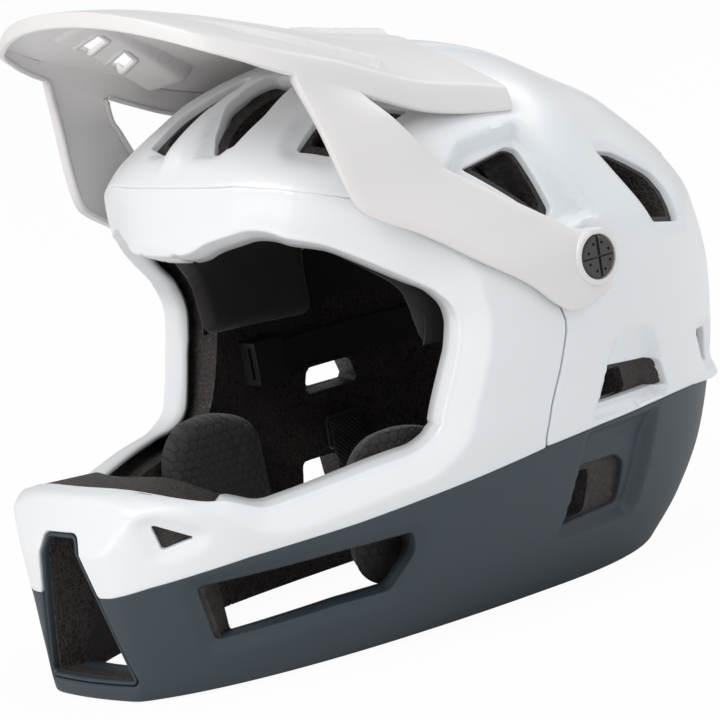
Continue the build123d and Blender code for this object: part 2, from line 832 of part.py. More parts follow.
def strap_band(inner_end):
    top, knee = strap_points()
    level = buckle_level - strap_wall / 2
    bend = (top[0] - strap_wall, anchor_level - strap_width / 2)
    line = FilletPolyline(top, bend, knee, (inner_end, level), radius=strap_width / 2)
    strip = offset(line, strap_wall / 2, side=Side.BOTH, kind=Kind.ARC)
    face = Plane.XZ.offset(-strap_line - strap_width / 2) * make_face(strip)
    return extrude(face, strap_width)


def anchor_post(grow):
    wall = wall_at(strap_line, anchor_level, 0.0)
    place = Plane.YZ.offset(wall - anchor_inset) * Pos(strap_line, anchor_level)
    return extrude(place * Circle(anchor_post_radius + grow), anchor_post_length + anchor_inset + grow)


def make_anchor():
    """The plate and post that hold one strap to the foam."""
    wall = wall_at(strap_line, anchor_level, 0.0)
    plate_face = RectangleRounded(strap_width, anchor_plate_height, anchor_post_radius)
    plate = extrude(plate_face, anchor_plate_wall)
    place = Plane.YZ.offset(wall - anchor_inset - anchor_plate_wall) * Pos(strap_line, anchor_level)
    return place * plate + anchor_post(0.0)


def make_buckle():
    """The buckle's body, with a mouth for the tongue and a well for the button."""
    place = Pos(-buckle_length / 2, strap_line, buckle_level)
    body = place * Box(buckle_length, buckle_width, buckle_height)
    body = fillet(body.edges().filter_by(Axis.Z), buckle_corner)
    body = chamfer(body.faces().sort_by(Axis.Z)[-1].edges(), buckle_corner / 3)
    mouth_length = tongue_length + fit_gap
    mouth = Pos(-mouth_length / 2, strap_line, buckle_level)
    body -= mouth * Box(mouth_length, tongue_width + 2 * fit_gap, tongue_wall + 2 * fit_gap)
    well = Pos(button_place(), strap_line, buckle_level - buckle_height / 2)
    depth = button_height - button_proud + button_travel + fit_gap
    return body - well * extrude(Circle(button_radius + fit_gap), depth)


def button_place():
    return -buckle_length + buckle_corner + button_radius


def make_button():
    foot = buckle_level - buckle_height / 2 - button_proud
    button = Pos(button_place(), strap_line, foot) * extrude(Circle(button_radius), button_height)
    return chamfer(button.edges().group_by(Axis.Z)[0], button_proud / 2)


def make_tongue():
    blade = Pos(-tongue_length / 2, strap_line, buckle_level) * Box(tongue_length, tongue_width, tongue_wall)
    grip = Pos(tongue_grip_length / 2 + fit_gap, strap_line, buckle_level)
    grip = grip * Box(tongue_grip_length, buckle_width, 0.8 * buckle_height)
    grip = fillet(grip.edges().filter_by(Axis.Z), buckle_corner)
    link = Pos(fit_gap, strap_line, buckle_level) * Box(4 * fit_gap, tongue_width, tongue_wall)
    return blade + grip + link


def make_keeper():
    """The rubber loop round the left strap."""
    knee = strap_points()[1]
    inner_end = strap_end(tongue_grip_length + fit_gap)
    level = buckle_level - strap_wall / 2
    mix = 0.42
    centre = (inner_end + (knee[0] - inner_end) * mix, level + (knee[1] - level) * mix)
    slope = Vector(knee[0] - inner_end, 0, knee[1] - level)
    frame = Plane(origin=(centre[0], strap_line, centre[1]), x_dir=slope, z_dir=(0, 1, 0))
    outer = Box(keeper_length, strap_wall + 2 * keeper_wall, strap_width + 2 * keeper_wall)
    room = Box(2 * keeper_length, strap_wall + fit_gap * 2, strap_width + fit_gap * 2)
    return frame * (outer - room)


def build():
    pieces = {}
    pieces["crown_shell"], pieces["face_frame"], pieces["jaw_shell"] = make_shells()
    pieces["crown_liner"], pieces["chin_liner"] = make_liners()
    pieces["visor"] = make_visor()
    lefts = {"visor_screw": make_screw(), "threaded_insert": make_insert(), "visor_washer": make_washer()}
    lefts["cheek_pad"] = make_cheek_pad()
    lefts["cheek_plate"] = make_cheek_plate()
    lefts["strap_anchor"] = make_anchor()
    for name, piece in lefts.items():
        pieces[name + "_left"] = piece
        pieces[name + "_right"] = mirror(piece, about=Plane.YZ)
    slip, crown_pad, forehead, nape, tabs = make_soft_parts()
    pieces.update(slip_liner=slip, slip_liner_tabs=tabs)
    pieces.update(crown_pad=crown_pad, forehead_pad=forehead, nape_pad=nape)
    pieces["cheek_studs"] = group(make_studs())
    pieces["cheek_sockets"] = group(make_sockets())
    pieces["fit_band"] = make_fit_band()
    pieces["fit_guides"] = make_guides()
    pieces["fit_cradle"] = make_cradle()
    pieces["fit_dial"] = make_dial()
    pieces["dial_axle"] = make_axle()
    pieces["chin_strap_left"] = strap_band(strap_end(tongue_grip_length + fit_gap))
    pieces["chin_strap_right"] = mirror(strap_band(strap_end(buckle_length)), about=Plane.YZ)
    pieces["buckle_body"] = make_buckle()
    pieces["buckle_tongue"] = make_tongue()
    pieces["buckle_button"] = make_button()
    pieces["strap_keeper"] = make_keeper()
    return pieces


def group(solids):
    """Separate solids of one kind on both sides."""
    both = solids + [mirror(item, about=Plane.YZ) for item in solids]
    return Compound(children=[item.solids()[0] for item in both])


def main():
    os.makedirs("parts", exist_ok=True)
    pieces = build()
    ends = [piece.bounding_box() for piece in pieces.values()]
    front = min(box.min.Y for box in ends)
    rear = max(box.max.Y for box in ends)
    shift = Pos(0, -(front + rear) / 2, 0)
    print("moved along Y by", round(-(front + rear) / 2, 4))
    for name, piece in pieces.items():
        placed = shift * Compound(children=piece.solids())
        export_step(placed, "parts/" + name + ".step")
        print(name, len(placed.solids()), round(placed.volume))


main()
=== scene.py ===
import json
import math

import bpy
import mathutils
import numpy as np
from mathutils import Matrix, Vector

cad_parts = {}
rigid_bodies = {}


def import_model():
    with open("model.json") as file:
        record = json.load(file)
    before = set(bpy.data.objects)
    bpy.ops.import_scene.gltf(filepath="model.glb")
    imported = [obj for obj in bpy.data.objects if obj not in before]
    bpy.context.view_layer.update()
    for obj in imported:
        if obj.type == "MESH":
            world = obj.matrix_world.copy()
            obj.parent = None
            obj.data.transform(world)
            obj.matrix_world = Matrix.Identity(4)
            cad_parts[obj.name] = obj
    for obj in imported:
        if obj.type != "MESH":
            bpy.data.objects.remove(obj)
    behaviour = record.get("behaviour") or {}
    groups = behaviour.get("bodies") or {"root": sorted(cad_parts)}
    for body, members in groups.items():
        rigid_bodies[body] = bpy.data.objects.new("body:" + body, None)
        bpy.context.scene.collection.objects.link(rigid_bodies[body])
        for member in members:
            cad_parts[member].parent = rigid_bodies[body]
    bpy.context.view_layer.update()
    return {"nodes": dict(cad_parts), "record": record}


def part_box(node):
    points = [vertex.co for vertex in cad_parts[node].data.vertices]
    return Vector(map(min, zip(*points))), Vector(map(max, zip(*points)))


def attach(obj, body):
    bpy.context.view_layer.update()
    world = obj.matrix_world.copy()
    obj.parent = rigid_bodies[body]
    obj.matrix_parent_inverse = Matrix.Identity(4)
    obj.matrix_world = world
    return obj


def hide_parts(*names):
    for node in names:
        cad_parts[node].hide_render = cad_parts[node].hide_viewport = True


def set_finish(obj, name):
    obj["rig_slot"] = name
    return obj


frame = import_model()

# %% [markdown]
# # A full face helmet for downhill riding
#
# The helmet is a stack of thin skins over thick bead foam: a white crown skin, a white face frame, a slate
# jaw skin, and a visor that tilts on two screws. The CAD frame is loaded first and stays fixed. Every skin
# here is worked out on a grid of numbers, cut along its seams and vents, and folded inwards at each cut, in
# the way a moulded skin is. Lengths are in millimetres about the head's centre line until `to_mesh`.

HEAD_SHIFT = np.array([0.0, 27.9351, 0.0])

# %% [markdown]
# ## The camera
#
# A long lens far from the helmet keeps its sides nearly parallel, as in a catalogue picture. The place and
# the turn were solved from matching points on the left and right of the helmet, so they are written as
# numbers rather than aimed by hand.

# %% Camera
TURN, LIFT, ROLL = math.radians(50.5748), math.radians(9.8817), math.radians(-9.1814)
EYE = np.array([1634.646, -1370.131, 475.981])
SENSOR, LENS, NEAREST, FURTHEST = 36.0, 241.85, 0.05, 50.0

back = np.array([math.sin(TURN) * math.cos(LIFT), -math.cos(TURN) * math.cos(LIFT), math.sin(LIFT)])
level = np.array([math.cos(TURN), math.sin(TURN), 0.0])
rise = np.cross(back, level)
camera_pose = np.eye(4)
camera_pose[:3, 0] = math.cos(ROLL) * level + math.sin(ROLL) * rise
camera_pose[:3, 1] = math.cos(ROLL) * rise - math.sin(ROLL) * level
camera_pose[:3, 2], camera_pose[:3, 3] = back, (EYE + HEAD_SHIFT) / 1000
camera_data = bpy.data.cameras.new("camera")
camera_data.sensor_width, camera_data.lens = SENSOR, LENS
camera_data.clip_start, camera_data.clip_end = NEAREST, FURTHEST
camera = bpy.data.objects.new("camera", camera_data)
camera.matrix_world = mathutils.Matrix(camera_pose.tolist())
bpy.context.scene.collection.objects.link(camera)
bpy.context.scene.camera = camera
print("camera", np.round(camera_pose[:3, 3], 3).tolist())

# %% [markdown]
# ## Curves, outlines and the shell's form
#
# The shell is measured as a table of levels. Each level is a superellipse, and the numbers between two
# levels follow a curve that never overshoots its rows. An outline is a polygon with rounded corners, and its
# distance field says how far inside it a point lies, which later cuts vents and sinks recesses.

# %% Curves through rows of numbers
FAR_OUT = 16.0


def through(knots, rows, at):
    """A cubic between neighbouring rows, whose slope at a row is the harmonic mean of the slopes beside it,
    or zero where they change sign, so that the curve never overshoots."""
    knots, rows = np.asarray(knots, float), np.asarray(rows, float)
    rows = rows.reshape(len(knots), -1)
    span = np.diff(knots)
    rate = np.diff(rows, axis=0) / span[:, None]
    product = rate[:-1] * rate[1:]
    total = rate[:-1] + rate[1:]
    harmonic = np.where(product > 0, 2 * product / np.where(total == 0, 1, total), 0)
    slope = np.vstack([rate[:1], harmonic, rate[-1:]])
    at = np.asarray(at, float)
    k = np.clip(np.searchsorted(knots, at, side="right") - 1, 0, len(knots) - 2)
    w = ((at - knots[k]) / span[k])[..., None]
    gap = span[k][..., None]
    return ((1 + 2 * w) * (1 - w) ** 2 * rows[k] + w * (1 - w) ** 2 * gap * slope[k]
            + w * w * (3 - 2 * w) * rows[k + 1] + w * w * (w - 1) * gap * slope[k + 1])


def run_along(points):
    """How far along a line each of its points lies."""
    return np.concatenate([[0], np.cumsum(np.linalg.norm(np.diff(points, axis=0), axis=1))])


def ease(x):
    """Zero below 0, one above 1, and 3x2 - 2x3 between."""
    x = np.clip(x, 0, 1)
    return x * x * (3 - 2 * x)


def rounded(points, radius, steps=5):
    """A polygon whose corners become short parabolas, each from a radius before the corner to one after."""
    points = np.asarray(points, float)
    before, after = np.roll(points, 1, 0) - points, np.roll(points, -1, 0) - points
    reach_b, reach_a = np.linalg.norm(before, axis=1), np.linalg.norm(after, axis=1)
    bite = np.minimum(radius, 0.45 * np.minimum(reach_b, reach_a))
    start = points + before * (bite / reach_b)[:, None]
    end = points + after * (bite / reach_a)[:, None]
    w = np.linspace(0, 1, steps)[None, :, None]
    bends = (1 - w) ** 2 * start[:, None] + 2 * w * (1 - w) * points[:, None] + w * w * end[:, None]
    return bends.reshape(-1, 2)


def inside(flat, outline):
    """Signed distance to a polygon, positive inside: the least distance to any edge, with its sign from how
    many edges a ray crosses. Points well away from the polygon's box are given as far out."""
    value = np.full(len(flat), -FAR_OUT)
    near = np.all((flat > outline.min(0) - FAR_OUT) & (flat < outline.max(0) + FAR_OUT), axis=1)
    p, a = flat[near][:, None], outline[None]
    b = np.roll(outline, -1, 0)[None]
    edge, to = b - a, p - a
    w = np.clip((to * edge).sum(-1) / np.maximum((edge ** 2).sum(-1), 1e-9), 0, 1)
    gap = np.linalg.norm(to - w[..., None] * edge, axis=-1).min(1)
    crosses = (a[..., 1] > p[..., 1]) != (b[..., 1] > p[..., 1])
    rate = np.where(edge[..., 1] == 0, 1e-9, edge[..., 1])
    hit = a[..., 0] + (p[..., 1] - a[..., 1]) * edge[..., 0] / rate
    odd = ((crosses & (p[..., 0] < hit)).sum(1) % 2) == 1
    value[near] = np.where(odd, gap, -gap)
    return value


# %% The shell's levels
# height, front reach, rear reach, half width, power of the front outline, power of the rear outline
LEVELS = np.array([
    (-12, 206.8, 92.2, 69.8, 2.3, 2.3), (0, 208, 103, 77, 2.3, 2.3), (20, 210, 121, 89, 2.1, 2.3),
    (46, 211, 136, 100, 2.0, 2.3), (80, 212, 146, 108, 2.0, 2.3), (95, 188, 149, 110, 2.0, 2.3),
    (120, 166, 150, 113, 2.1, 2.3), (150, 147, 144, 114, 2.2, 2.3), (180, 138, 131, 108, 2.2, 2.3),
    (205, 122, 108, 97, 2.2, 2.3), (222, 100, 79, 82, 2.15, 2.25), (235, 70, 46, 60, 2.1, 2.1),
    (242, 40, 20, 36, 2, 2), (244.7, 12, 7, 11, 2, 2), (245, 0.4, 0.4, 0.4, 2, 2)], float)
FOAM_DEPTH = np.array([11, 14, 18.6, 24.8, 27.9, 29.5, 31, 31, 31, 31, 31, 31, 31, 31, 31.0])
CLIMB = np.concatenate([[0], np.cumsum(np.hypot(np.diff(LEVELS[:, 3]), np.diff(LEVELS[:, 0])))])
ROWS = np.column_stack([LEVELS, FOAM_DEPTH])
FOOT, TOP = float(CLIMB[1]), CLIMB[-1]
CROWN_HEIGHT, GIRTH, RIDGE_SOFTNESS = 245, 880, 1.6


def level_numbers(climb):
    return np.moveaxis(through(CLIMB, ROWS, climb), -1, 0)


def chin_panel(x, z):
    """The chin's shallow convex front panel. It comes forward with height and leans back above 66 mm."""
    return -(201 + 7 * np.clip(z, 0, 90) / 80) + 3 * (x / 31) ** 2 + 0.45 * np.maximum(z - 66, 0)


def shell_point(climb, turn, depth=0.0, lined=0.0):
    """A point of the shell. The climb picks a level, the turn goes round it from the front towards +X, and
    x = W |sin|^(2/n), y = -F |cos|^(2/n) or B at the rear. The reaches shrink by the depth, and the chin is
    cut by its front panel with a softened ridge."""
    z, front, rear, half, power_f, power_r, foam = level_numbers(climb)
    depth = depth + lined * foam
    front, rear, half = (reach - depth * np.minimum(1, reach / 100) for reach in (front, rear, half))
    s, c = np.sin(turn), np.cos(turn)
    power = np.where(c > 0, power_f, power_r)
    x = half * np.sign(s) * np.abs(s) ** (2 / power)
    y = -np.where(c > 0, front, rear) * np.sign(c) * np.abs(c) ** (2 / power)
    panel = chin_panel(x, z) + depth
    y = (0.5 * (y + panel + np.sqrt((y - panel) ** 2 + RIDGE_SOFTNESS ** 2))
         - 0.4 * np.exp(-((y - panel) / 4) ** 2))
    return np.stack([x, y, z - depth * np.clip(z / CROWN_HEIGHT, 0, 1) ** 6], -1)


def even_turns(count, height=90.0):
    """Turns that space a level's points evenly, found by reading its length backwards."""
    turn = np.linspace(0, 2 * np.pi, 4001)
    reach = run_along(shell_point(np.full_like(turn, np.interp(height, LEVELS[:, 0], CLIMB)), turn))
    return np.interp(np.linspace(0, reach[-1], count + 1), reach, turn)


def shell_grid(spacing, low, high, depth=0.0, lined=0.0):
    """A function that places the grid points between two climbs, and the grid's rows and columns."""
    count = int(round(GIRTH / spacing))
    turns = even_turns(count)
    climbs = np.linspace(low, high, int(round((high - low) / spacing)) + 1)
    rows = len(climbs)

    def place(i, j, depth=depth, lined=lined):
        return shell_point(np.interp(i, np.arange(rows), climbs),
                           np.interp(j % count, np.arange(count + 1), turns), depth, lined)

    return place, rows, count


print("shell climbs", round(float(TOP)), "mm from foot to crown")

# %% [markdown]
# ## Cutting and folding
#
# A grid cut along an outline would have a stepped edge. So each grid point within half a cell of the cut
# slides onto it, along the field's own slope, and the cells beyond it are dropped. The free edge then
# rolls inwards through a small radius and runs down as a wall, as the real skin does at every vent.

# %% Cut a grid along a field
NUDGE, HALF_CELL, ON_EDGE, TINY = 0.05, 0.5, -0.12, 1e-9


def cells(number, wrap=True):
    """The faces between a grid's rows of point numbers, round to the first column too where it wraps."""
    beside = np.roll(number, -1, 1) if wrap else number[:, 1:]
    first = number if wrap else number[:, :-1]
    return np.stack([first[:-1], beside[:-1], beside[1:], first[1:]], -1).reshape(-1, 4)


def cut(place, rows, columns, keep, wrap=True):
    """Grid points (i, j) placed by a function and kept where the field is positive. A Newton step moves a
    point by minus field times slope over slope squared, in grid units, so that the edge lies on zero."""
    grid = np.meshgrid(np.arange(rows, dtype=float), np.arange(columns, dtype=float), indexing="ij")
    i, j = (item.ravel() for item in grid)

    def field(a, b):
        return keep(place(np.clip(a, 0, rows - 1), b))

    def slopes(a, b, value):
        return (field(a + NUDGE, b) - value) / NUDGE, (field(a, b + NUDGE) - value) / NUDGE

    value = field(i, j)
    di, dj = slopes(i, j, value)
    near = np.abs(value) / (np.sqrt(di ** 2 + dj ** 2) + TINY) < HALF_CELL
    for _ in range(4):
        a, b = i[near], j[near]
        here = field(a, b)
        ga, gb = slopes(a, b, here)
        size = ga ** 2 + gb ** 2 + TINY
        i[near] = np.clip(a - np.clip(here * ga / size, -HALF_CELL, HALF_CELL), 0, rows - 1)
        j[near] = b - np.clip(here * gb / size, -HALF_CELL, HALF_CELL)
    good = field(i, j) > ON_EDGE
    quads = cells(np.arange(rows * columns).reshape(rows, columns), wrap)
    count = good[quads].sum(1)
    three, quads = quads[count == 3], quads[count == 4]
    spot = np.argmin(good[three], axis=1)
    triangles = np.take_along_axis(three, (spot[:, None] + np.array([1, 2, 3])[None]) % 4, 1)
    points = place(i, j)
    quads = quads[keep(points[quads].mean(1)) > 0] if len(quads) else quads
    triangles = triangles[keep(points[triangles].mean(1)) > 0] if len(triangles) else triangles
    used = np.zeros(rows * columns, bool)
    used[quads.ravel()] = True
    used[triangles.ravel()] = True
    renumber = np.cumsum(used) - 1
    return i[used], j[used], renumber[quads], renumber[triangles]


# %% Free edges and folds
def free_edges(quads, triangles):
    """Directed edges that only one face uses."""
    pairs = [faces[:, [k, (k + 1) % faces.shape[1]]] for faces in (quads, triangles)
             for k in range(faces.shape[1])]
    pairs = np.concatenate(pairs)
    top = int(pairs.max()) + 1
    return pairs[~np.isin(pairs[:, 1] * top + pairs[:, 0], pairs[:, 0] * top + pairs[:, 1])]


def unit(v):
    return v / np.maximum(np.linalg.norm(v, axis=-1, keepdims=True), TINY)


def folded(points, normals, quads, triangles, radius, depth):
    """Rings added at each free edge: the edge leans out by the radius times the sine of an angle, drops by
    the radius times one minus its cosine, and then runs straight in by the depth."""
    edges = free_edges(quads, triangles)
    rim = np.unique(edges)
    local = np.full(len(points), -1)
    local[rim] = np.arange(len(rim))
    a, b = local[edges[:, 0]], local[edges[:, 1]]
    step = unit(points[edges[:, 1]] - points[edges[:, 0]])
    tangent = np.zeros((len(rim), 3))
    np.add.at(tangent, a, step)
    np.add.at(tangent, b, step)
    out, down = np.cross(unit(tangent), normals[rim]), -normals[rim]
    for _ in range(3):
        for vectors in (out, down):
            total = 2 * vectors.copy()
            np.add.at(total, a, vectors[b])
            np.add.at(total, b, vectors[a])
            vectors[:] = unit(total)
    radius, depth = radius[rim][:, None], depth[rim][:, None]
    rings = [points[rim]]
    for angle in (30, 60, 90):
        lean, drop = math.sin(math.radians(angle)), 1 - math.cos(math.radians(angle))
        rings.append(points[rim] + out * radius * lean + down * radius * drop)
    for share in (0.5, 1.0):
        rings.append(rings[3] + down * np.maximum(depth - radius, 0.2) * share)
    index = [rim] + [len(points) + k * len(rim) + np.arange(len(rim)) for k in range(5)]
    walls = [np.stack([index[k + 1][a], index[k + 1][b], index[k][b], index[k][a]], -1) for k in range(5)]
    return np.concatenate([points] + rings[1:]), np.concatenate([quads] + walls)


# %% Meshes
def to_mesh(name, points, quads, triangles=(), sharp=None):
    """Millimetres about the head become metres in the part's frame."""
    mesh = bpy.data.meshes.new(name)
    faces = np.asarray(quads, int).tolist() + np.asarray(triangles, int).reshape(-1, 3).tolist()
    mesh.from_pydata(((np.asarray(points) + HEAD_SHIFT) / 1000).tolist(), [], faces)
    mesh.validate()
    mesh.shade_smooth()
    if sharp:
        mesh.set_sharp_from_angle(angle=math.radians(sharp))
    piece = bpy.data.objects.new(name, mesh)
    bpy.context.scene.collection.objects.link(piece)
    return piece


def thicken(piece, wall):
    solid = piece.modifiers.new("wall", "SOLIDIFY")
    solid.thickness, solid.offset = wall / 1000, -1.0
    solid.use_rim = True
    return piece


def normals_of(place, i, j, step=0.2):
    """The cross product of two small steps along the grid."""
    one = place(i + step, j) - place(i - step, j)
    two = place(i, j + step) - place(i, j - step)
    return unit(np.cross(two, one))


# %% [markdown]
# ## Where the vents and seams lie
#
# Side outlines are read as (y, z) on both sides at once, top outlines as (x, y), and outlines of the front
# and back as (x, z). Each vent keeps its own fold: white skins fold in a few millimetres, and slate more.

# %% Views
def side(p, outline):
    return inside(p[:, 1:], outline)


def mirrored(p, axis, here, outline):
    """The distance inside an outline for both halves at once, and far out where the view doesn't look."""
    return np.where(here, inside(np.column_stack([np.abs(p[:, 0]), p[:, axis]]), outline), -FAR_OUT)


def top(p, outline):
    return mirrored(p, 1, p[:, 2] > 150, outline)


def fore(p, outline):
    return mirrored(p, 2, p[:, 1] < -120, outline)


def aft(p, outline):
    return mirrored(p, 2, p[:, 1] > 60, outline)


# %% Outlines
SPLIT = np.array([
    (-260, 46.5), (-203, 47), (-192, 50), (-176, 53), (-158, 56), (-138, 58), (-113, 60), (-85, 63),
    (-55, 66), (-19, 70), (14, 72), (48, 73), (83, 73), (116, 70), (145, 66.5), (260, 66)], float)
FACE = np.array([
    (-260, 206), (-122, 206), (-113, 205), (-105, 202), (-83, 193), (-68, 182), (-15, 141), (-5, 130),
    (-2.5, 123), (-3, 118), (-8, 102), (-14, 88), (-18, 74), (-19, 30), (-260, 30)], float)
PORT = rounded([
    (-260, 182), (-150, 181.5), (-135, 181), (-130, 187), (-120, 190.8), (-115.5, 189), (-112, 185),
    (-100.5, 179.2), (-81.8, 165), (-63.2, 150.2), (-55.7, 140.9), (-53.7, 133.1), (-55.9, 121.9),
    (-62.2, 104.7), (-69, 89), (-82, 81.6), (-102, 79.7), (-134, 75), (-150, 73.3), (-178, 87.5),
    (-188, 94), (-260, 97)], 5)
# each vent's view, the radius of its corners, and its corners
VENTS = {
    "jaw": (side, 3, [(-178, 46.7), (-120, 48.9), (-86, 49), (-84, 39), (-95, 24), (-120, 24), (-172, 21)]),
    "nape": (side, 3, [(3, 54), (30.5, 53.5), (37.5, 48), (35.5, 28.5), (-5, 27)]),
    "temple": (side, 2.5, [(-33, 198), (-4.2, 202.6), (1, 200), (7.2, 171), (3.5, 168), (-1.5, 169)]),
    "quarter": (side, 2.5, [(48.3, 190), (61.7, 187), (84, 171.6), (89.2, 162.4), (91.5, 145.6),
                            (65.6, 150.8)]),
    "ear": (side, 3, [(24, 95.6), (56.8, 92.2), (62.8, 78), (17, 79)]),
    "hind": (side, 2.5, [(94, 95.6), (108.4, 94.2), (112.4, 77), (103.6, 78)]),
    "nick": (side, 1.6, [(-191, 76.5), (-177, 68), (-188, 64.5)]),
    "ear_hole": (side, 3, [(9, 93), (40, 93), (43, 81), (5, 81)]),
    "nape_hole": (side, 3, [(-8, 52), (17, 52), (15, 32), (-14, 32)]),
    "brow": (top, 3, [(15.5, -103.4), (28.6, -101.2), (28.8, -80.4), (19.5, -48), (5, -51), (2.2, -66),
                      (4, -80), (9, -95.3)]),
    "arm": (top, 3, [(54, -88.5), (69, -80), (60, -66), (49, -69.5)]),
    "crown": (top, 2, [(64.5, -45), (74, -49), (73.5, -36)]),
    "rear": (aft, 4, [(17, 175), (39, 167), (34, 142), (16, 147)]),
    "chin": (fore, 3.5, [(-11.5, 75), (11.5, 75), (20, 47), (31, 9.5), (29, 7), (-29, 7), (-31, 9.5),
                         (-20, 47)]),
}
VENTS = {name: (view, rounded(corners, radius)) for name, (view, radius, corners) in VENTS.items()}
TEMPLE_RECESS, EAR_RECESS, NAPE_RECESS, BROW_RECESS = (rounded(corners, 3) for corners in (
    [(-46, 196), (-31, 207.5), (3, 209.3), (29, 163), (3, 161), (-8, 162)],
    [(28, 114), (51, 110.5), (63.5, 74), (9, 74)],
    [(6, 72), (55.4, 72), (43.5, 28), (38, 23.5), (-9, 23.5)],
    [(9.9, -109.7), (33.1, -105.4), (31, -80), (21, -48), (4, -50), (0.6, -68), (3, -84)]))


def split_height(y):
    return np.interp(y, SPLIT[:, 0], SPLIT[:, 1])


def vent(p, name):
    view, outline = VENTS[name]
    return view(p, outline)


def vent_fields(p, names, grow=0.0):
    """One column for each vent: how far outside it a point lies."""
    return np.stack([-vent(p, name) - grow for name in names], -1)


# %% Recesses and raised bands
TEMPLE_DEPTH, EAR_DEPTH, NAPE_DEPTH, BROW_DEPTH, REAR_DRAW, ARM_DIP = 5.8, 5.8, 5.4, 4.2, 7.0, 3.6
LIP_LEAN, NICK_DEPTH, HEM_FLARE, BAND_RISE, RIDGE_RISE = 0.6, 2.2, 4.6, 1.2, 3.2
# small vents that the skin dips round: depth and reach of the dip, and how far out it starts
DIPS = {"quarter": (1.6, 4, 40), "hind": (1.6, 4, 40), "jaw": (2.4, 6, 30)}


def recess(p):
    """How far the skin sinks in at a point of the plain shell. A recess is deepest at its vent, fades at its
    top, and has steep bevelled sides: depth times the eased distance inside its outline. The rear top is
    drawn in too, and the skin dips round the small vents."""
    z, wide = p[:, 2], np.abs(p[:, 0])
    sink = TEMPLE_DEPTH * ease(side(p, TEMPLE_RECESS) / 4.2) * (wide > 50)
    sink += EAR_DEPTH * ease(side(p, EAR_RECESS) / 4.0) * ease((117 - z) / 24) * (wide > 60)
    sink += (NAPE_DEPTH * ease(side(p, NAPE_RECESS) / 4.0) * ease((78 - z) / 20)
             * (wide > 60) * (z < 76))
    inward = ease((26 - wide - 0.16 * (p[:, 1] + 100)) / 7 + 0.1)
    sink += BROW_DEPTH * ease(top(p, BROW_RECESS) / 4.5) * inward
    sink += REAR_DRAW * ease((p[:, 1] - 5) / 60) * ease((z - 150) / 50) * ease((246 - z) / 30)
    sink += ARM_DIP * ease((np.maximum(vent(p, "arm"), vent(p, "crown")) + 9) / 9)
    for name, (depth, reach, out) in DIPS.items():
        sink += depth * ease((vent(p, name) + reach) / reach) * (wide > out)
    return sink


def seam_gap(p):
    """Half the seam between crown skin and face frame: 0.45 mm along the brow and 1.1 mm down the cheek."""
    return 0.45 + 0.65 * ease((200 - p[:, 2]) / 12)


def face_sink(p):
    """The face frame's wide lip, which leans in towards the port, and the scooped nick in the chin."""
    wide = 12 + 5 * ease((p[:, 2] - 140) / 20) - 7 * ease((-135 - p[:, 1]) / 45) * (p[:, 2] < 120)
    lean = LIP_LEAN * wide * np.clip((side(p, PORT) + wide) / wide, 0, 1) ** 1.06
    scoop = NICK_DEPTH * ease((vent(p, "nick") + 7) / 7) * (p[:, 1] < -160)
    return lean + scoop


def crown_lift(p):
    """The hem that flares at the rear foot, the crown's low band, and the ridge between the brow vents."""
    over = p[:, 2] - split_height(p[:, 1])
    wide = np.abs(p[:, 0])
    hem = HEM_FLARE * np.exp(-(np.maximum(over, 0) / 5.5) ** 2) * ease((p[:, 1] - 62) / 55)
    band = (BAND_RISE * ease((34 + 0.22 * p[:, 1] - wide) / 5) * ease((p[:, 1] + 40) / 30)
            * (p[:, 2] > 170))
    ridge = (RIDGE_RISE * ease((8 - wide) / 4.5) * ease((-36 - p[:, 1]) / 25)
             * ease((p[:, 1] + 119) / 12))
    return hem + band + ridge


print("vents", len(VENTS), "outlines")

# %% [markdown]
# ## The three outer skins
#
# The crown skin, face frame and jaw skin share one form, so their seams meet everywhere. Each is the same
# grid with its own field. The smallest of a piece's fields is its keep field, and whichever field is
# smallest at an edge point also says how deep that edge folds.

# %% Skins
CROWN_VENTS = ["temple", "quarter", "ear", "hind", "brow", "arm", "crown", "rear"]
SEAM_FOLD = (0.7, 1.6)
SKIN_SHARP = 50


def peaked(i, rows, triangles, *tables):
    """The small hole at the crown closed by triangles round a point in the middle of the last row. Each
    table of numbers gets that row's mean as its last row."""
    peak = np.flatnonzero(i > rows - 1.5)
    fan = np.stack([peak, np.roll(peak, -1), np.full(len(peak), len(i))], -1)
    return np.concatenate([triangles, fan]), [np.vstack([item, item[peak].mean(0)]) for item in tables]


def skin(name, spacing, low, high, fields, folds, sink, wall=1.9, pole=False):
    """A skin: cut the grid, push its points in along the plain form's normals, and fold its edges. Each
    fold is a radius and a depth."""
    place, rows, count = shell_grid(spacing, low, high)
    i, j, quads, triangles = cut(place, rows, count, lambda p: fields(p).min(-1))
    plain = place(i, j)
    normals = normals_of(place, i, j)
    points = plain - normals * sink(plain)[:, None]
    folds = np.asarray(folds, float)[fields(plain).argmin(-1)]
    if pole:
        triangles, (points, normals, folds) = peaked(i, rows, triangles, points, normals, folds)
    points, quads = folded(points, normals, quads, triangles, *folds.T)
    print(name, len(points), "points")
    return thicken(to_mesh(name, points, quads, triangles, SKIN_SHARP), wall)


# %% Crown skin
# how far the skins' edges stand back from the line between them, their vents, the port and the foot
CROWN_SEAM, FACE_SEAM, JAW_SEAM, PORT_LIP, JAW_FOOT = 0.9, 0.5, 0.6, 1.2, 2.3
VENT_LIP, FACE_VENT_LIP = 0.6, 0.5


def crown_fields(p):
    over = p[:, 2] - split_height(p[:, 1])
    return np.column_stack([over - CROWN_SEAM, -side(p, FACE) - seam_gap(p),
                            vent_fields(p, CROWN_VENTS, VENT_LIP)])


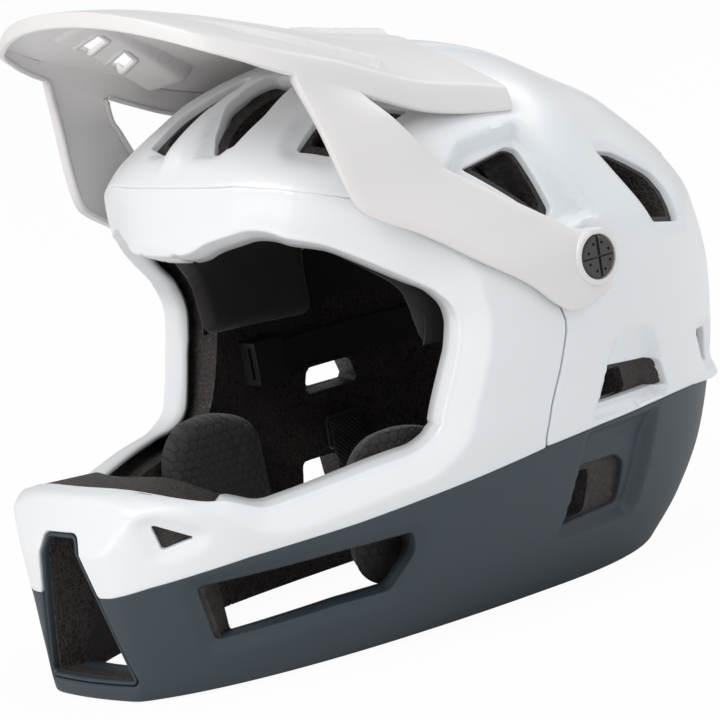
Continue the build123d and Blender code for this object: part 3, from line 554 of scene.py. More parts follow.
crown = skin("crown_skin", 2.05, FOOT + 44, TOP, crown_fields,
             [(0.9, 3.0), SEAM_FOLD] + [(1.0, 6.5)] * len(CROWN_VENTS),
             lambda p: recess(p) - crown_lift(p), pole=True)
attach(crown, "shell")
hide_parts("crown_shell")
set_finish(crown, "shell_white")

# %% Face frame
def face_fields(p):
    over = p[:, 2] - split_height(p[:, 1])
    return np.column_stack([over - FACE_SEAM, side(p, FACE) - seam_gap(p), -side(p, PORT) - PORT_LIP,
                            vent_fields(p, ["nick", "chin"], FACE_VENT_LIP)])


face = skin("face_skin", 1.5, FOOT + 30, FOOT + 236, face_fields,
            [(0.8, 2.2), SEAM_FOLD, (1.4, 13.5), (0.5, 5.0), (0.8, 3.2)], face_sink)
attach(face, "shell")
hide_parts("face_frame")
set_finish(face, "shell_white")

# %% Jaw skin
def jaw_fields(p):
    under = split_height(p[:, 1]) - p[:, 2]
    return np.column_stack([under - JAW_SEAM, p[:, 2] - JAW_FOOT,
                            vent_fields(p, ["jaw", "nape", "chin"], VENT_LIP)])


jaw = skin("jaw_skin", 1.6, FOOT - 2, FOOT + 80, jaw_fields,
           [(0.8, 3.0), (2.0, 7.0), (1.1, 8.0), (1.1, 7.0), (1.3, 7.0)], recess, wall=2.0)
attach(jaw, "shell")
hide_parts("jaw_shell")
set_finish(jaw, "shell_slate")
print("skins done")

# %% [markdown]
# ## Bead foam
#
# Expanded bead foam is one thick block with the vents moulded right through it. Both of its faces come from
# one cut grid, the outer just under the skins and the inner at the foam's own depth, and walls join their
# free edges, so every vent narrows towards the head as a moulded one does.

# %% Foam blocks
SKIN_COVER, FOAM_SHARP = 3.6, 40
CHIN_LINE, CHIN_TOP, FOAM_SEAM = -76.3, 122.0, 0.3
FOAM_FOOT, PORT_MARGIN = 2.2, 4.4


def joined(outer, inner, quads, triangles):
    """An outer and an inner face from the same grid, the inner one turned round, with walls between them."""
    count = len(outer)
    edges = free_edges(quads, triangles)
    walls = np.stack([edges[:, 1], edges[:, 0], edges[:, 0] + count, edges[:, 1] + count], -1)
    return (np.concatenate([outer, inner]), np.concatenate([quads, quads[:, ::-1] + count, walls]),
            np.concatenate([triangles, triangles[:, ::-1] + count]))


def foam(name, spacing, low, high, keep, pole=False):
    """A block from just under the skins, which sink in places, to the foam's own depth."""
    place, rows, count = shell_grid(spacing, low, high)
    i, j, quads, triangles = cut(place, rows, count, keep)
    plain = place(i, j)
    cover = SKIN_COVER + recess(plain) + face_sink(plain) * (side(plain, FACE) > -6)
    outer, inner = place(i, j, cover), place(i, j, 0.0, 1.0)
    if pole:
        triangles, (outer, inner) = peaked(i, rows, triangles, outer, inner)
    points, quads, triangles = joined(outer, inner, quads, triangles)
    print(name, len(points), "points")
    return to_mesh(name, points, quads, triangles, FOAM_SHARP)


def foam_fields(p, reach, vents):
    """The least of the distances from the seam between the blocks, the foot, the port and the vents."""
    return np.column_stack([reach - FOAM_SEAM, p[:, 2] - FOAM_FOOT, -side(p, PORT) - PORT_MARGIN,
                            vents]).min(-1)


# %% Crown foam and chin foam
def crown_foam_keep(p):
    vents = vent_fields(p, [name for name in CROWN_VENTS if name != "ear"] + ["jaw"], -3.0)
    vents = np.minimum(vents, vent_fields(p, ["ear_hole", "nape_hole"]).min(-1)[:, None])
    return foam_fields(p, np.maximum(p[:, 1] - CHIN_LINE, p[:, 2] - CHIN_TOP), vents)


def chin_foam_keep(p):
    vents = np.column_stack([vent_fields(p, ["jaw"], -0.6), vent_fields(p, ["chin"], -3.6)])
    return foam_fields(p, np.minimum(CHIN_LINE - p[:, 1], CHIN_TOP - p[:, 2]), vents)


crown_foam = foam("crown_foam", 2.7, FOOT - 2, TOP, crown_foam_keep, pole=True)
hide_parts("crown_liner")
chin_foam = foam("chin_foam", 1.9, FOOT - 2, FOOT + 110, chin_foam_keep)
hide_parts("chin_liner")
for piece in (crown_foam, chin_foam):
    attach(piece, "shell")
    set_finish(piece, "foam_dark")

# %% [markdown]
# ## Lining of the chin vent
#
# The white frame ends in an upside-down U at the front. Inside it a slate wall stands between the white edge
# and the foam. It is a strip carried round the vent's outline, from the skin's back to the foam.

# %% Chin vent lining
LINING = rounded([(-9.9, 73.4), (9.9, 73.4), (18.5, 46.5), (29.3, 10.3), (27.6, 8.6), (-27.6, 8.6),
                  (-29.3, 10.3), (-18.5, 46.5)], 3.0, 9)
LINING_MIDDLE, LINING_WALL = np.array([0, 38.0]), 1.2
LINING_DEPTHS = np.array([1.2, 1.6, 2.4, 6, 10, 14, 18.0])[:, None]
LINING_SIZES = np.array([1.02, 1.0, 0.995, 0.985, 0.975, 0.965, 0.955])[:, None, None]


def evenly(outline, count):
    """A count of evenly spaced points round an outline."""
    loop = np.vstack([outline, outline[:1]])
    reach = run_along(loop)
    at = np.linspace(0, reach[-1], count + 1)[:-1]
    return np.stack([np.interp(at, reach, loop[:, k]) for k in (0, 1)], -1)


loop = evenly(LINING, 180)
shape = LINING_MIDDLE + (loop - LINING_MIDDLE)[None] * LINING_SIZES
strip_y = chin_panel(loop[:, 0], loop[:, 1])[None] + LINING_DEPTHS + 0 * shape[..., 0]
lining_points = np.stack([shape[..., 0], strip_y, shape[..., 1]], -1).reshape(-1, 3)
lining_quads = cells(np.arange(len(lining_points)).reshape(len(LINING_DEPTHS), -1))
lining = thicken(to_mesh("chin_vent_lining", lining_points, lining_quads), LINING_WALL)
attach(lining, "shell")
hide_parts("jaw_shell")
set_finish(lining, "shell_slate")
print("chin lining", len(lining_points), "points")

# %% [markdown]
# ## The visor
#
# The real visor is one thin moulding: an arched blade, a folded rim along its front and sides, and two arms
# that come down from the rim to the pivots. It is one mesh here too. The blade is a grid, the rim grows from
# the blade's own edge points, and each arm grows from the rim's, so there is no joint to hide.

# %% Blade
BLADE_ROWS, BLADE_COLUMNS = 101, 115
FRONT_EDGE = [(0, -155.5), (0.33, -154), (0.6, -150), (0.82, -143.5), (0.93, -138.5), (1.0, -132)]
REAR_EDGE = [(0, 6), (0.25, 3), (0.62, -1), (0.8, 0), (0.92, 2.5), (1.0, 4)]
CENTRE_LINE = [(-160, 288.9), (-150, 288), (-110, 279), (-79, 270), (-30, 255), (7, 247.6), (20, 245)]
BLADE_HALF = [(0, 76), (0.08, 81), (0.2, 84), (0.5, 85), (0.7, 86.5), (0.85, 88), (1, 89.5)]
BLADE_DROP = [(0, 14), (0.2, 17.6), (0.36, 18.7), (0.5, 20.7), (0.7, 22.9), (0.85, 23), (1, 24.2)]
CHANNEL = rounded([(30, -122), (60, -119), (83, -54), (65, -42)], 2)
WINDOWS = [rounded([(64, -105), (42, -107.5), (47.5, -98.5), (68, -95.5)], 1.5),
           rounded([(74, -83.5), (53, -86.5), (59, -76.5), (77, -74)], 1.5)]
SPINE = rounded([(0, -33), (8.4, -33), (17.6, 3), (15, 22), (0, 22), (-15, 22), (-17.6, 3), (-8.4, -33)], 2)
CHANNEL_DEPTH, SPINE_HEIGHT, BAND_HEIGHT = 6.0, 2.4, 0.8


def read_table(pairs, at):
    pairs = np.asarray(pairs, float)
    return through(pairs[:, 0], pairs[:, 1:], at)[..., 0]


def blade_point(i, j):
    """x is the share across times the half width, y runs from the front edge to the rear edge, and z is the
    centre line's height less the drop times the share squared. The channels sink, and the spine and the
    wide middle band stand up."""
    v, w = i / (BLADE_ROWS - 1), 2 * j / (BLADE_COLUMNS - 1) - 1
    side_share = np.clip(np.abs(w), 0, 1)
    x = w * read_table(BLADE_HALF, v)
    y = read_table(FRONT_EDGE, side_share) * (1 - v) + read_table(REAR_EDGE, side_share) * v
    z = read_table(CENTRE_LINE, y) - read_table(BLADE_DROP, v) * side_share ** 2.1
    channel = inside(np.column_stack([np.abs(x), y]), CHANNEL)
    z = z - CHANNEL_DEPTH * ease(channel / 2.6) * (0.15 + 0.85 * ease((y + 124) / 80))
    z = z + SPINE_HEIGHT * ease(inside(np.column_stack([x, y]), SPINE) / 2.2)
    z = z + BAND_HEIGHT * ease((26 + 0.06 * (y + 150) - np.abs(x)) / 4) * ease((y + 152) / 30)
    return np.stack([x, y, z], -1)


def window_keep(p):
    flat = np.column_stack([np.abs(p[:, 0]), p[:, 1]])
    return np.minimum(-inside(flat, WINDOWS[0]), -inside(flat, WINDOWS[1])) - 0.3


bi, bj, blade_quads, blade_triangles = cut(blade_point, BLADE_ROWS, BLADE_COLUMNS, window_keep, wrap=False)
blade = blade_point(bi, bj)
print("blade", len(blade), "points")

# %% [markdown]
# ## The visor's rim
#
# The rim stiffens the thin blade, as a fold does in sheet. A bevel or an extrusion would run into the crown,
# so the rim's depth is tried step by step against the shell's own formula, and stops short of it.

# %% Rim
RIM_OUT = [(-160, 1.6), (-134, 2.4), (-120, 3.2), (-102, 4), (-65, 3.6), (-22, 2.6), (10, 3)]
RIM_DOWN = [(-160, 5.6), (-134, 6), (-120, 8), (-102, 9.8), (-85, 11.4), (-65, 12.2), (-22, 12), (10, 9)]
RIM_SHARES = np.array([0.05, 0.14, 0.3, 0.5, 0.72, 0.9, 1.0])[:, None]
RIM_CLEARANCE, RIM_LEAST = 2.6, 0.3
UP = np.array([0, 0, 1.0])


def numbers_at(z):
    return level_numbers(np.interp(z, LEVELS[:, 0], CLIMB))


def clear_of_shell(p, gap):
    """The shell's superellipse value at a point's own height, less one: positive outside the shell."""
    front, rear, half, power_f, power_r = numbers_at(p[..., 2])[1:6]
    ahead = p[..., 1] < 0
    reach, power = np.where(ahead, front, rear) + gap, np.where(ahead, power_f, power_r)
    return (np.abs(p[..., 0]) / (half + gap)) ** power + (np.abs(p[..., 1]) / reach) ** power - 1


def crease_point(share_out, share_down):
    return crease + outward * (out * share_out)[..., None] - UP * (down * share_down)[..., None]


# the blade's own edge points, from the right rear corner round the front to the left rear corner
row, column = np.round(bi), np.round(bj)
right_side = np.flatnonzero((column == 0) & (bi == row) & (bj == column))
left_side = np.flatnonzero((column == BLADE_COLUMNS - 1) & (bj == column))
front_side = np.flatnonzero((row == 0) & (column > 0) & (column < BLADE_COLUMNS - 1) & (bi == row))
path = np.concatenate([right_side[np.argsort(-bi[right_side])], front_side[np.argsort(bj[front_side])],
                       left_side[np.argsort(bi[left_side])]])
crease = blade[path]
step = np.gradient(crease, axis=0)
outward = unit(np.column_stack([step[:, 1], -step[:, 0], 0 * step[:, 0]]))
for _ in range(6):
    outward[1:-1] = unit(outward[:-2] + 2 * outward[1:-1] + outward[2:])
out, down = read_table(RIM_OUT, crease[:, 1]), read_table(RIM_DOWN, crease[:, 1])
# the rim stops short wherever its full depth would meet the shell
trial = np.linspace(0.25, 1, 31)[:, None]
free = np.cumprod(clear_of_shell(crease_point(trial, trial), RIM_CLEARANCE) > 0, axis=0)
limit = np.where(free.any(0), (trial * free).max(0), RIM_LEAST)
for _ in range(8):
    limit[1:-1] = np.minimum(limit[1:-1], (limit[:-2] + 2 * limit[1:-1] + limit[2:]) / 4)
rim_rows = crease_point((RIM_SHARES * limit) ** 0.62, RIM_SHARES * limit)
print("rim", rim_rows.shape, "least share", round(float(limit.min()), 2))

# %% [markdown]
# ## The visor's arms
#
# Each arm is a flat strap between two drawn edges. It lies on a form of its own just outside the shell, and
# its first row of points is the rim's, so rim and arm flow into each other as in one moulding.

# %% Arms
# height, front reach, rear reach, half width and power of the form that the arms follow
ARM_LEVELS = np.array([(98, 174.7, 150, 114.5, 2.1), (129.85, 160.3, 150, 115.6, 2.2),
                       (149.5, 156.7, 148.5, 116.05, 2.2), (169, 164, 142.5, 111.7, 2.3),
                       (193.6, 188.7, 138, 103.7, 2.4), (215.6, 213.7, 130.5, 98.7, 2.4),
                       (249.9, 258.6, 121.5, 87.8, 2.6), (294, 278.6, 118.5, 79.6, 2.6)])
# share down the arm, and (y, z) of its edge there
ARM_FRONT = [(0, -107, 251), (0.17, -101.5, 223), (0.33, -96, 197), (0.38, -92.3, 189.5),
             (0.43, -86.5, 185), (0.53, -70, 176), (0.67, -45, 158.5), (0.81, -20, 141),
             (0.88, -8.5, 131), (0.92, -2, 127.6), (0.95, 4, 127.4), (1, 22, 132)]
ARM_REAR = [(0, -77, 238), (0.2, -64, 219.5), (0.36, -53.5, 203.5), (0.4, -51, 200), (0.46, -44, 195),
            (0.62, -24, 181), (0.8, -2, 166), (0.88, 7, 160.2), (1, 22, 158)]
ARM_ROWS, ARM_PROUD, ARM_BEVEL, ARM_BLEND = 110, 4.1, 3.5, 0.16
PIVOT, PIVOT_HOLE = np.array([14.4, 147.0]), 10.9


def half_width(y, half, reach, power):
    """A superellipse's half width at a place along it: W (1 - |y / R|^n)^(1/n)."""
    return half * np.maximum(1 - (np.abs(y) / reach) ** power, 0.01) ** (1 / power)


def arm_reach(y, z):
    """The arm's outer face: the half width of its own superellipse form at a height, and a bit proud."""
    front, rear, half, power = np.moveaxis(through(ARM_LEVELS[:, 0], ARM_LEVELS[:, 1:], z), -1, 0)
    return half_width(y, half + ARM_PROUD, np.where(y < 0, front, rear) + ARM_PROUD, power)


def arm_rows(start):
    """Points between the arm's two edges, for each row down the arm. The first row's error against the rim
    fades out over the first rows, so the arm starts from the rim's own points."""
    order = np.argsort(start[:, 1])
    share = np.empty(len(start))
    share[order] = np.linspace(0, 1, len(start))
    a = np.linspace(0, 1, ARM_ROWS)
    low, high = (through([row[0] for row in edge], [row[1:] for row in edge], a)
                 for edge in (ARM_FRONT, ARM_REAR))
    flat = low[:, None] * (1 - share)[None, :, None] + high[:, None] * share[None, :, None]
    edge = np.minimum(share, 1 - share)[None] * np.linalg.norm(high - low, axis=1)[:, None]
    x = arm_reach(flat[..., 0], flat[..., 1]) - 0.8 * (1 - ease(edge / ARM_BEVEL))
    rows = np.stack([np.sign(start[0, 0]) * x, flat[..., 0], flat[..., 1]], -1)
    return rows + (start - rows[0])[None] * (1 - ease(a / ARM_BLEND))[:, None, None]


def numbered(first_row, start, rows):
    """Point numbers of rows that grow from points already there."""
    return np.vstack([first_row[None], start + np.arange(rows.size // 3).reshape(len(rows), -1)])


rim_number = numbered(path, len(blade), rim_rows)
points = [blade, rim_rows.reshape(-1, 3)]
quads = [blade_quads, cells(rim_number, False)[:, ::-1]]
edge_row, arm_number = rim_rows[-1], np.zeros(0, int)
for sign in (1, -1):
    pick = np.flatnonzero((edge_row[:, 1] > -108) & (edge_row[:, 1] < -76) & (edge_row[:, 0] * sign > 60))
    rows = arm_rows(edge_row[pick])[1:]
    number = numbered(rim_number[-1][pick], sum(map(len, points)), rows)
    points.append(rows.reshape(-1, 3))
    faces = cells(number, False)[:, ::-1]
    spots = np.concatenate(points)[faces].mean(1)
    quads.append(faces[np.linalg.norm(spots[:, 1:] - PIVOT, axis=1) > PIVOT_HOLE])
    arm_number = np.append(arm_number, number[1:].ravel())
visor_points, visor_quads = np.concatenate(points), np.concatenate(quads)
print("visor sheet", len(visor_points), "points")

# %% [markdown]
# ## The visor's wall and bosses
#
# The sheet's free edges fold in, and a Solidify modifier gives it a real wall. The round boss that holds each
# screw is a profile turned about the pivot, which is simpler than joining a cylinder to the arm.

# %% Visor mesh
VISOR_WALL, VISOR_SHARP, VISOR_RADIUS = 2.1, 42, 0.9
BLADE_FOLD, ARM_FOLD = 2.6, 4.6
BOSS = [(4.1, 116.1), (12.7, 116.1), (12.7, 119.6), (12.6, 120.4), (12.1, 121.0), (11.4, 121.2),
        (10.6, 121.2), (9.95, 120.9), (9.7, 120.3), (9.7, 118.4), (4.1, 118.4)]
BOSS_STEPS, BOSS_SHARP = 72, 40


def vertex_normals(points, quads, triangles):
    """The sum of the normals of the faces round each point, each as long as its face is large."""
    total = np.zeros_like(points)
    for faces, (a, b, c, d) in ((quads, (2, 0, 3, 1)), (triangles, (1, 0, 2, 0))):
        normal = np.cross(points[faces[:, a]] - points[faces[:, b]],
                          points[faces[:, c]] - points[faces[:, d]])
        for k in range(faces.shape[1]):
            np.add.at(total, faces[:, k], normal)
    return unit(total)


def turned(name, profile, sign):
    """A profile of (radius, reach) turned about the pivot's axis."""
    angle = np.linspace(0, 2 * np.pi, BOSS_STEPS, endpoint=False)
    radius, reach = np.asarray(profile, float).T
    points = np.stack([sign * reach[:, None] + 0 * angle, PIVOT[0] + radius[:, None] * np.cos(angle),
                       PIVOT[1] + radius[:, None] * np.sin(angle)], -1)
    number = np.arange(len(profile) * BOSS_STEPS).reshape(len(profile), BOSS_STEPS)
    after, beside = np.roll(number, -1, 0), np.roll(number, -1, 1)
    quads = np.stack([number, beside, np.roll(after, -1, 1), after], -1).reshape(-1, 4)
    return to_mesh(name, points.reshape(-1, 3), quads if sign > 0 else quads[:, ::-1], (), BOSS_SHARP)


fold_depth = np.full(len(visor_points), BLADE_FOLD)
fold_depth[arm_number] = ARM_FOLD
visor_normals = vertex_normals(visor_points, visor_quads, blade_triangles)
visor_points, visor_quads = folded(visor_points, visor_normals, visor_quads, blade_triangles,
                                   np.full(len(visor_points), VISOR_RADIUS), fold_depth)
visor = thicken(to_mesh("visor_sheet", visor_points, visor_quads, blade_triangles, VISOR_SHARP), VISOR_WALL)
bosses = [turned("visor_boss_left", BOSS, 1), turned("visor_boss_right", BOSS, -1)]
for piece in [visor] + bosses:
    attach(piece, "visor")
    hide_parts("visor")
    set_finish(piece, "visor_grey")
print("visor done")

# %% [markdown]
# ## Pads
#
# The brow, crown and nape pads are thin cushions that follow the foam. Each is cut from the foam's inner face
# by its outline, and its face stands off by a height that rises from nothing at the seam as a quarter circle.

# %% Thin pads
FOREHEAD = rounded([(-148, 195), (-106, 192), (-82, 171.5), (-57, 148), (-52, 122.5), (15, 117.6),
                    (15, 166.6), (-63.6, 186), (-91, 210.7), (-148, 215.6)], 6)
NAPE_PAD = rounded([(37.5, 13.5), (165, 9.8), (165, 49), (37.5, 50)], 8)
CROWN_PAD = rounded([(0, -91), (6.8, -91), (6.8, -42), (51, -10.6), (51, 18), (6.8, 30), (6.8, 72),
                     (-6.8, 72), (-6.8, 30), (-51, 18), (-51, -10.6), (-6.8, -42), (-6.8, -91)], 5)
PAD_SPACING, PAD_SEAM = 3.0, 0.35


def crown_pad_keep(p):
    return np.where(p[:, 2] > 150, inside(p[:, :2], CROWN_PAD), -FAR_OUT)


def soften(piece, levels):
    smooth = piece.modifiers.new("smooth", "SUBSURF")
    smooth.levels = smooth.render_levels = levels


def pad(name, low, high, keep, lift, depth, edge):
    """The foam's inner face cut by an outline. Its seat is that face, and its crown stands off by the lift
    times the square root of one minus the square of what is left to the edge distance."""
    place, rows, count = shell_grid(PAD_SPACING, low, high, depth, 1.0)
    i, j, quads, triangles = cut(place, rows, count, keep)
    seat = place(i, j)
    rise = np.clip(keep(seat) / edge, 0, 1)
    height = PAD_SEAM + lift * np.sqrt(1 - (1 - rise) ** 2)
    crown = seat - normals_of(place, i, j) * height[:, None]
    points, quads, triangles = joined(seat, crown, quads, triangles)
    piece = to_mesh(name, points, quads, triangles)
    soften(piece, 1)
    print(name, len(points), "points")
    return piece


forehead = pad("forehead_cushion", FOOT + 110, FOOT + 235, lambda p: side(p, FOREHEAD), 5.8, 1.9, 6)
nape = pad("nape_cushion", FOOT + 4, FOOT + 60, lambda p: side(p, NAPE_PAD), 5.6, 0.8, 7)
crown_cushion = pad("crown_cushion", FOOT + 150, TOP - 1, crown_pad_keep, 5.8, 1.9, 6)
for piece, node in ((forehead, "forehead_pad"), (nape, "nape_pad"), (crown_cushion, "crown_pad")):
    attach(piece, "shell")
    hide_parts(node)
    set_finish(piece, "pad_fabric")

# %% [markdown]
# ## Cheek cushions
#
# Cheek cushions are thick foam in a sewn cover. Each is a closed form of rings, swelled by a short cloth
# simulation that rounds it as the foam would. Sculpting could do the same, but not from a few numbers.

# %% Cheek cushions
CHEEK = rounded([(-96.5, 26), (-99.6, 73.5), (-86, 90), (-62, 91), (-42, 83), (-38, 21), (-60, 15.2)], 13, 9)
CHEEK_AROUND, CHEEK_FACE, CHEEK_SEAT = 96, 54.5, 2.9
CHEEK_SIZES = np.array([0.1, 0.3, 0.5, 0.68, 0.8, 0.88, 0.94, 0.975, 0.985, 0.975, 0.96, 0.93, 0.9, 0.6,
                        0.3, 0.1])
CHEEK_RISE = np.array([0, 0.2, 0.5, 1.0, 1.7, 2.9, 5.2, 8.5, 12.5, 17, 21, 99, 99, 99, 99, 99.0])[:, None]
PRESSURE, SWELL_CAP, SWELL_FRAMES, SWELL_SEAT = 4.0, 0.003, 20, 2.6
STITCH_DEPTH, STITCH_WIDTH = 1.8, 1.7


def capped(points, number, first_turned):
    """A tube's two ends, each closed round a point in its middle, with one end's faces turned over."""
    triangles = []
    for ring, over in ((number[0], first_turned), (number[-1], not first_turned)):
        tip = np.full(len(ring), len(points))
        points = np.vstack([points, points[ring].mean(0)])
        faces = np.stack([ring, np.roll(ring, -1), tip], -1)
        triangles.append(faces[:, ::-1] if over else faces)
    return points, np.concatenate(triangles)


def outwards(points, quads, triangles):
    """The faces of a closed form, all turned over if the volume a . (b x c) / 6 comes out negative."""
    faces = np.concatenate([quads[:, [0, 1, 2]], quads[:, [0, 2, 3]], triangles])
    a, b, c = (points[faces[:, k]] for k in range(3))
    turn = slice(None, None, -1) if (a * np.cross(b, c)).sum() < 0 else slice(None)
    return quads[:, turn], triangles[:, turn]


def foam_wall(y, z, depth):
    """How far out the foam's inner face lies at a side place."""
    front, rear, half, power_f, power_r, deep = numbers_at(z)[1:]
    return half_width(y, half - deep - depth, np.where(y < 0, front, rear) - deep - depth,
                      np.where(y < 0, power_f, power_r))


def cheek_form():
    """Rings of the cushion's outline, each a share of the outline's size. They rise from the face, and those
    past the side wall lie on the foam."""
    loop = evenly(CHEEK, CHEEK_AROUND)
    middle = loop.mean(0)
    flat = middle + (loop - middle)[None] * CHEEK_SIZES[:, None, None]
    seat = foam_wall(flat[..., 0], flat[..., 1], CHEEK_SEAT)
    x = np.where(CHEEK_RISE > 50, seat, np.minimum(CHEEK_FACE + CHEEK_RISE + 0 * seat, seat - 0.4))
    points = np.stack([x, flat[..., 0], flat[..., 1]], -1).reshape(-1, 3)
    number = np.arange(len(points)).reshape(-1, CHEEK_AROUND)
    beside = np.roll(number, -1, 1)
    quads = np.stack([number[:-1], number[1:], beside[1:], beside[:-1]], -1).reshape(-1, 4)
    points, triangles = capped(points, number, False)
    return points, *outwards(points, quads, triangles)


def swell(piece, pressure, cap):
    """A short cloth run with pressure and no gravity, in which no point moves further than the cap."""
    start = np.array([v.co for v in piece.data.vertices])
    cloth = piece.modifiers.new("cloth", "CLOTH")
    cloth.settings.use_pressure = True
    cloth.settings.uniform_pressure_force = pressure
    cloth.settings.effector_weights.gravity = 0
    cloth.settings.quality = 5
    for number in range(1, SWELL_FRAMES + 1):
        bpy.context.scene.frame_set(number)
    graph = bpy.context.evaluated_depsgraph_get()
    swollen = piece.evaluated_get(graph).to_mesh()
    end = np.array([v.co for v in swollen.vertices])
    piece.evaluated_get(graph).to_mesh_clear()
    piece.modifiers.remove(cloth)
    bpy.context.scene.frame_set(1)
    move = end - start
    size = np.linalg.norm(move, axis=1, keepdims=True)
    return start + move * np.minimum(1, cap / np.maximum(size, TINY))


def stitched(points):
    """A sewn channel: points near a line down the face sink, over 2 mm each side of it."""
    line = -58 - 0.16 * (points[:, 2] - 60)
    front = ease((points[:, 0].max() - points[:, 0] - 14) / 6)
    sink = STITCH_DEPTH * np.exp(-((points[:, 1] - line) / STITCH_WIDTH) ** 2) * front
    return points + np.array([1.0, 0, 0]) * sink[:, None]


cheek_points, cheek_quads, cheek_triangles = cheek_form()
slack = to_mesh("slack_cheek", cheek_points, cheek_quads, cheek_triangles)
cheek_points = swell(slack, PRESSURE, SWELL_CAP) * 1000 - HEAD_SHIFT
seat = foam_wall(cheek_points[:, 1], cheek_points[:, 2], SWELL_SEAT)
cheek_points[:, 0] = np.minimum(cheek_points[:, 0], seat)
bpy.data.objects.remove(slack)
cheek_points = stitched(cheek_points)
for sign, hand in ((1, "left"), (-1, "right")):
    cushion = to_mesh("cheek_cushion_" + hand, cheek_points * [sign, 1, 1], cheek_quads[:, ::sign],
                      cheek_triangles[:, ::sign])
    soften(cushion, 2)
    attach(cushion, "shell")
    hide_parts("cheek_pad_" + hand)
    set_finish(cushion, "pad_fabric")
print("cheek cushions", len(cheek_points), "points each")

# %% [markdown]
# ## Chin strap webbing
#
# Webbing is a flat strip with rounded edges. It is carried along a smooth line from its anchor, down past the
# cheek and in to the buckle, and turned so that its width stays along Y.

# %% Straps
STRAP_WIDTH, STRAP_WALL, STRAP_LINE, STRAP_COUNT, STRAP_AROUND, STRAP_SHARP = 20.0, 1.6, 18.0, 90, 28, 60


def along(points, shares):
    """Points at shares of the chord length of a smooth line through given points."""
    points = np.asarray(points, float)
    reach = run_along(points)
    return through(reach / reach[-1], points, shares)


def webbing(name, line):
    """A flat oval carried along a line in the plane across the helmet: the oval's long half is half the
    width, and its short half is half the wall, and small powers square its corners."""
    line = along(line, np.linspace(0, 1, STRAP_COUNT))
    step = np.gradient(line, axis=0)
    normal = unit(np.column_stack([-step[:, 1], step[:, 0]]))
    angle = np.linspace(0, 2 * np.pi, STRAP_AROUND, endpoint=False)
    wide = np.sign(np.cos(angle)) * np.abs(np.cos(angle)) ** 0.35 * STRAP_WIDTH / 2
    thin = np.sign(np.sin(angle)) * np.abs(np.sin(angle)) ** 0.5 * STRAP_WALL / 2
    x, z = line[:, :1] + normal[:, :1] * thin, line[:, 1:] + normal[:, 1:] * thin
    points = np.stack([x, STRAP_LINE + wide + 0 * x, z], -1).reshape(-1, 3)
    number = np.arange(len(points)).reshape(STRAP_COUNT, STRAP_AROUND)
    points, triangles = capped(points, number, True)
    return to_mesh(name, points, *outwards(points, cells(number), triangles), STRAP_SHARP)


strap_high = [np.array(corner) * 1000 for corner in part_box("chin_strap_left")][1]
strap_top = strap_high[0] - STRAP_WALL / 2
for sign, hand, inner in ((1, "left", 16.2), (-1, "right", 27.8)):
    line = [(strap_top, 68), (strap_top - 0.6, 56), (strap_top - 4, 47), (62, 32), (52, 22.0), (40, 16),
            (inner + 6, 10.6), (inner, 8.9)]
    strap = webbing("chin_webbing_" + hand, [(sign * x, z) for x, z in line])
    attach(strap, "shell")
    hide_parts("chin_strap_" + hand)
    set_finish(strap, "webbing_black")
print("straps from", round(float(strap_top), 1), "mm")

# %% [markdown]
# ## Finishes
#
# Node trees are long to write by hand. `Wire` wraps a node's output so that `a * 2 + b` adds the Math nodes,
# and `Finish` makes a material, one node at a time. Patterns read Object coordinates, in metres.

# %% Wires and finishes
def plug(tree, slot, value):
    """A wire is linked to a node's input, and any other value is written into it."""
    if isinstance(value, Wire):
        tree.links.new(value.socket, slot)
    else:
        slot.default_value = value


def operation(kind, other=0.0, swapped=False):
    """A method of a wire that adds one Math node."""
    def method(self, other=other):
        node = self.tree.nodes.new("ShaderNodeMath")
        node.operation = kind
        for slot, value in zip(node.inputs, (other, self) if swapped else (self, other)):
            plug(self.tree, slot, value)
        return Wire(self.tree, node.outputs[0])
    return method


class Wire:
    """An output socket that adds, takes away, multiplies and divides as numbers do."""
    def __init__(self, tree, socket):
        self.tree, self.socket = tree, socket

    __add__, __radd__ = operation("ADD"), operation("ADD", swapped=True)
    __sub__, __rsub__ = operation("SUBTRACT"), operation("SUBTRACT", swapped=True)
    __mul__, __rmul__ = operation("MULTIPLY"), operation("MULTIPLY", swapped=True)
    __truediv__, fraction = operation("DIVIDE"), operation("FLOORED_MODULO", 1.0)
    least, most, above = operation("MINIMUM"), operation("MAXIMUM"), operation("GREATER_THAN")
    size, wave = operation("ABSOLUTE"), operation("SINE")


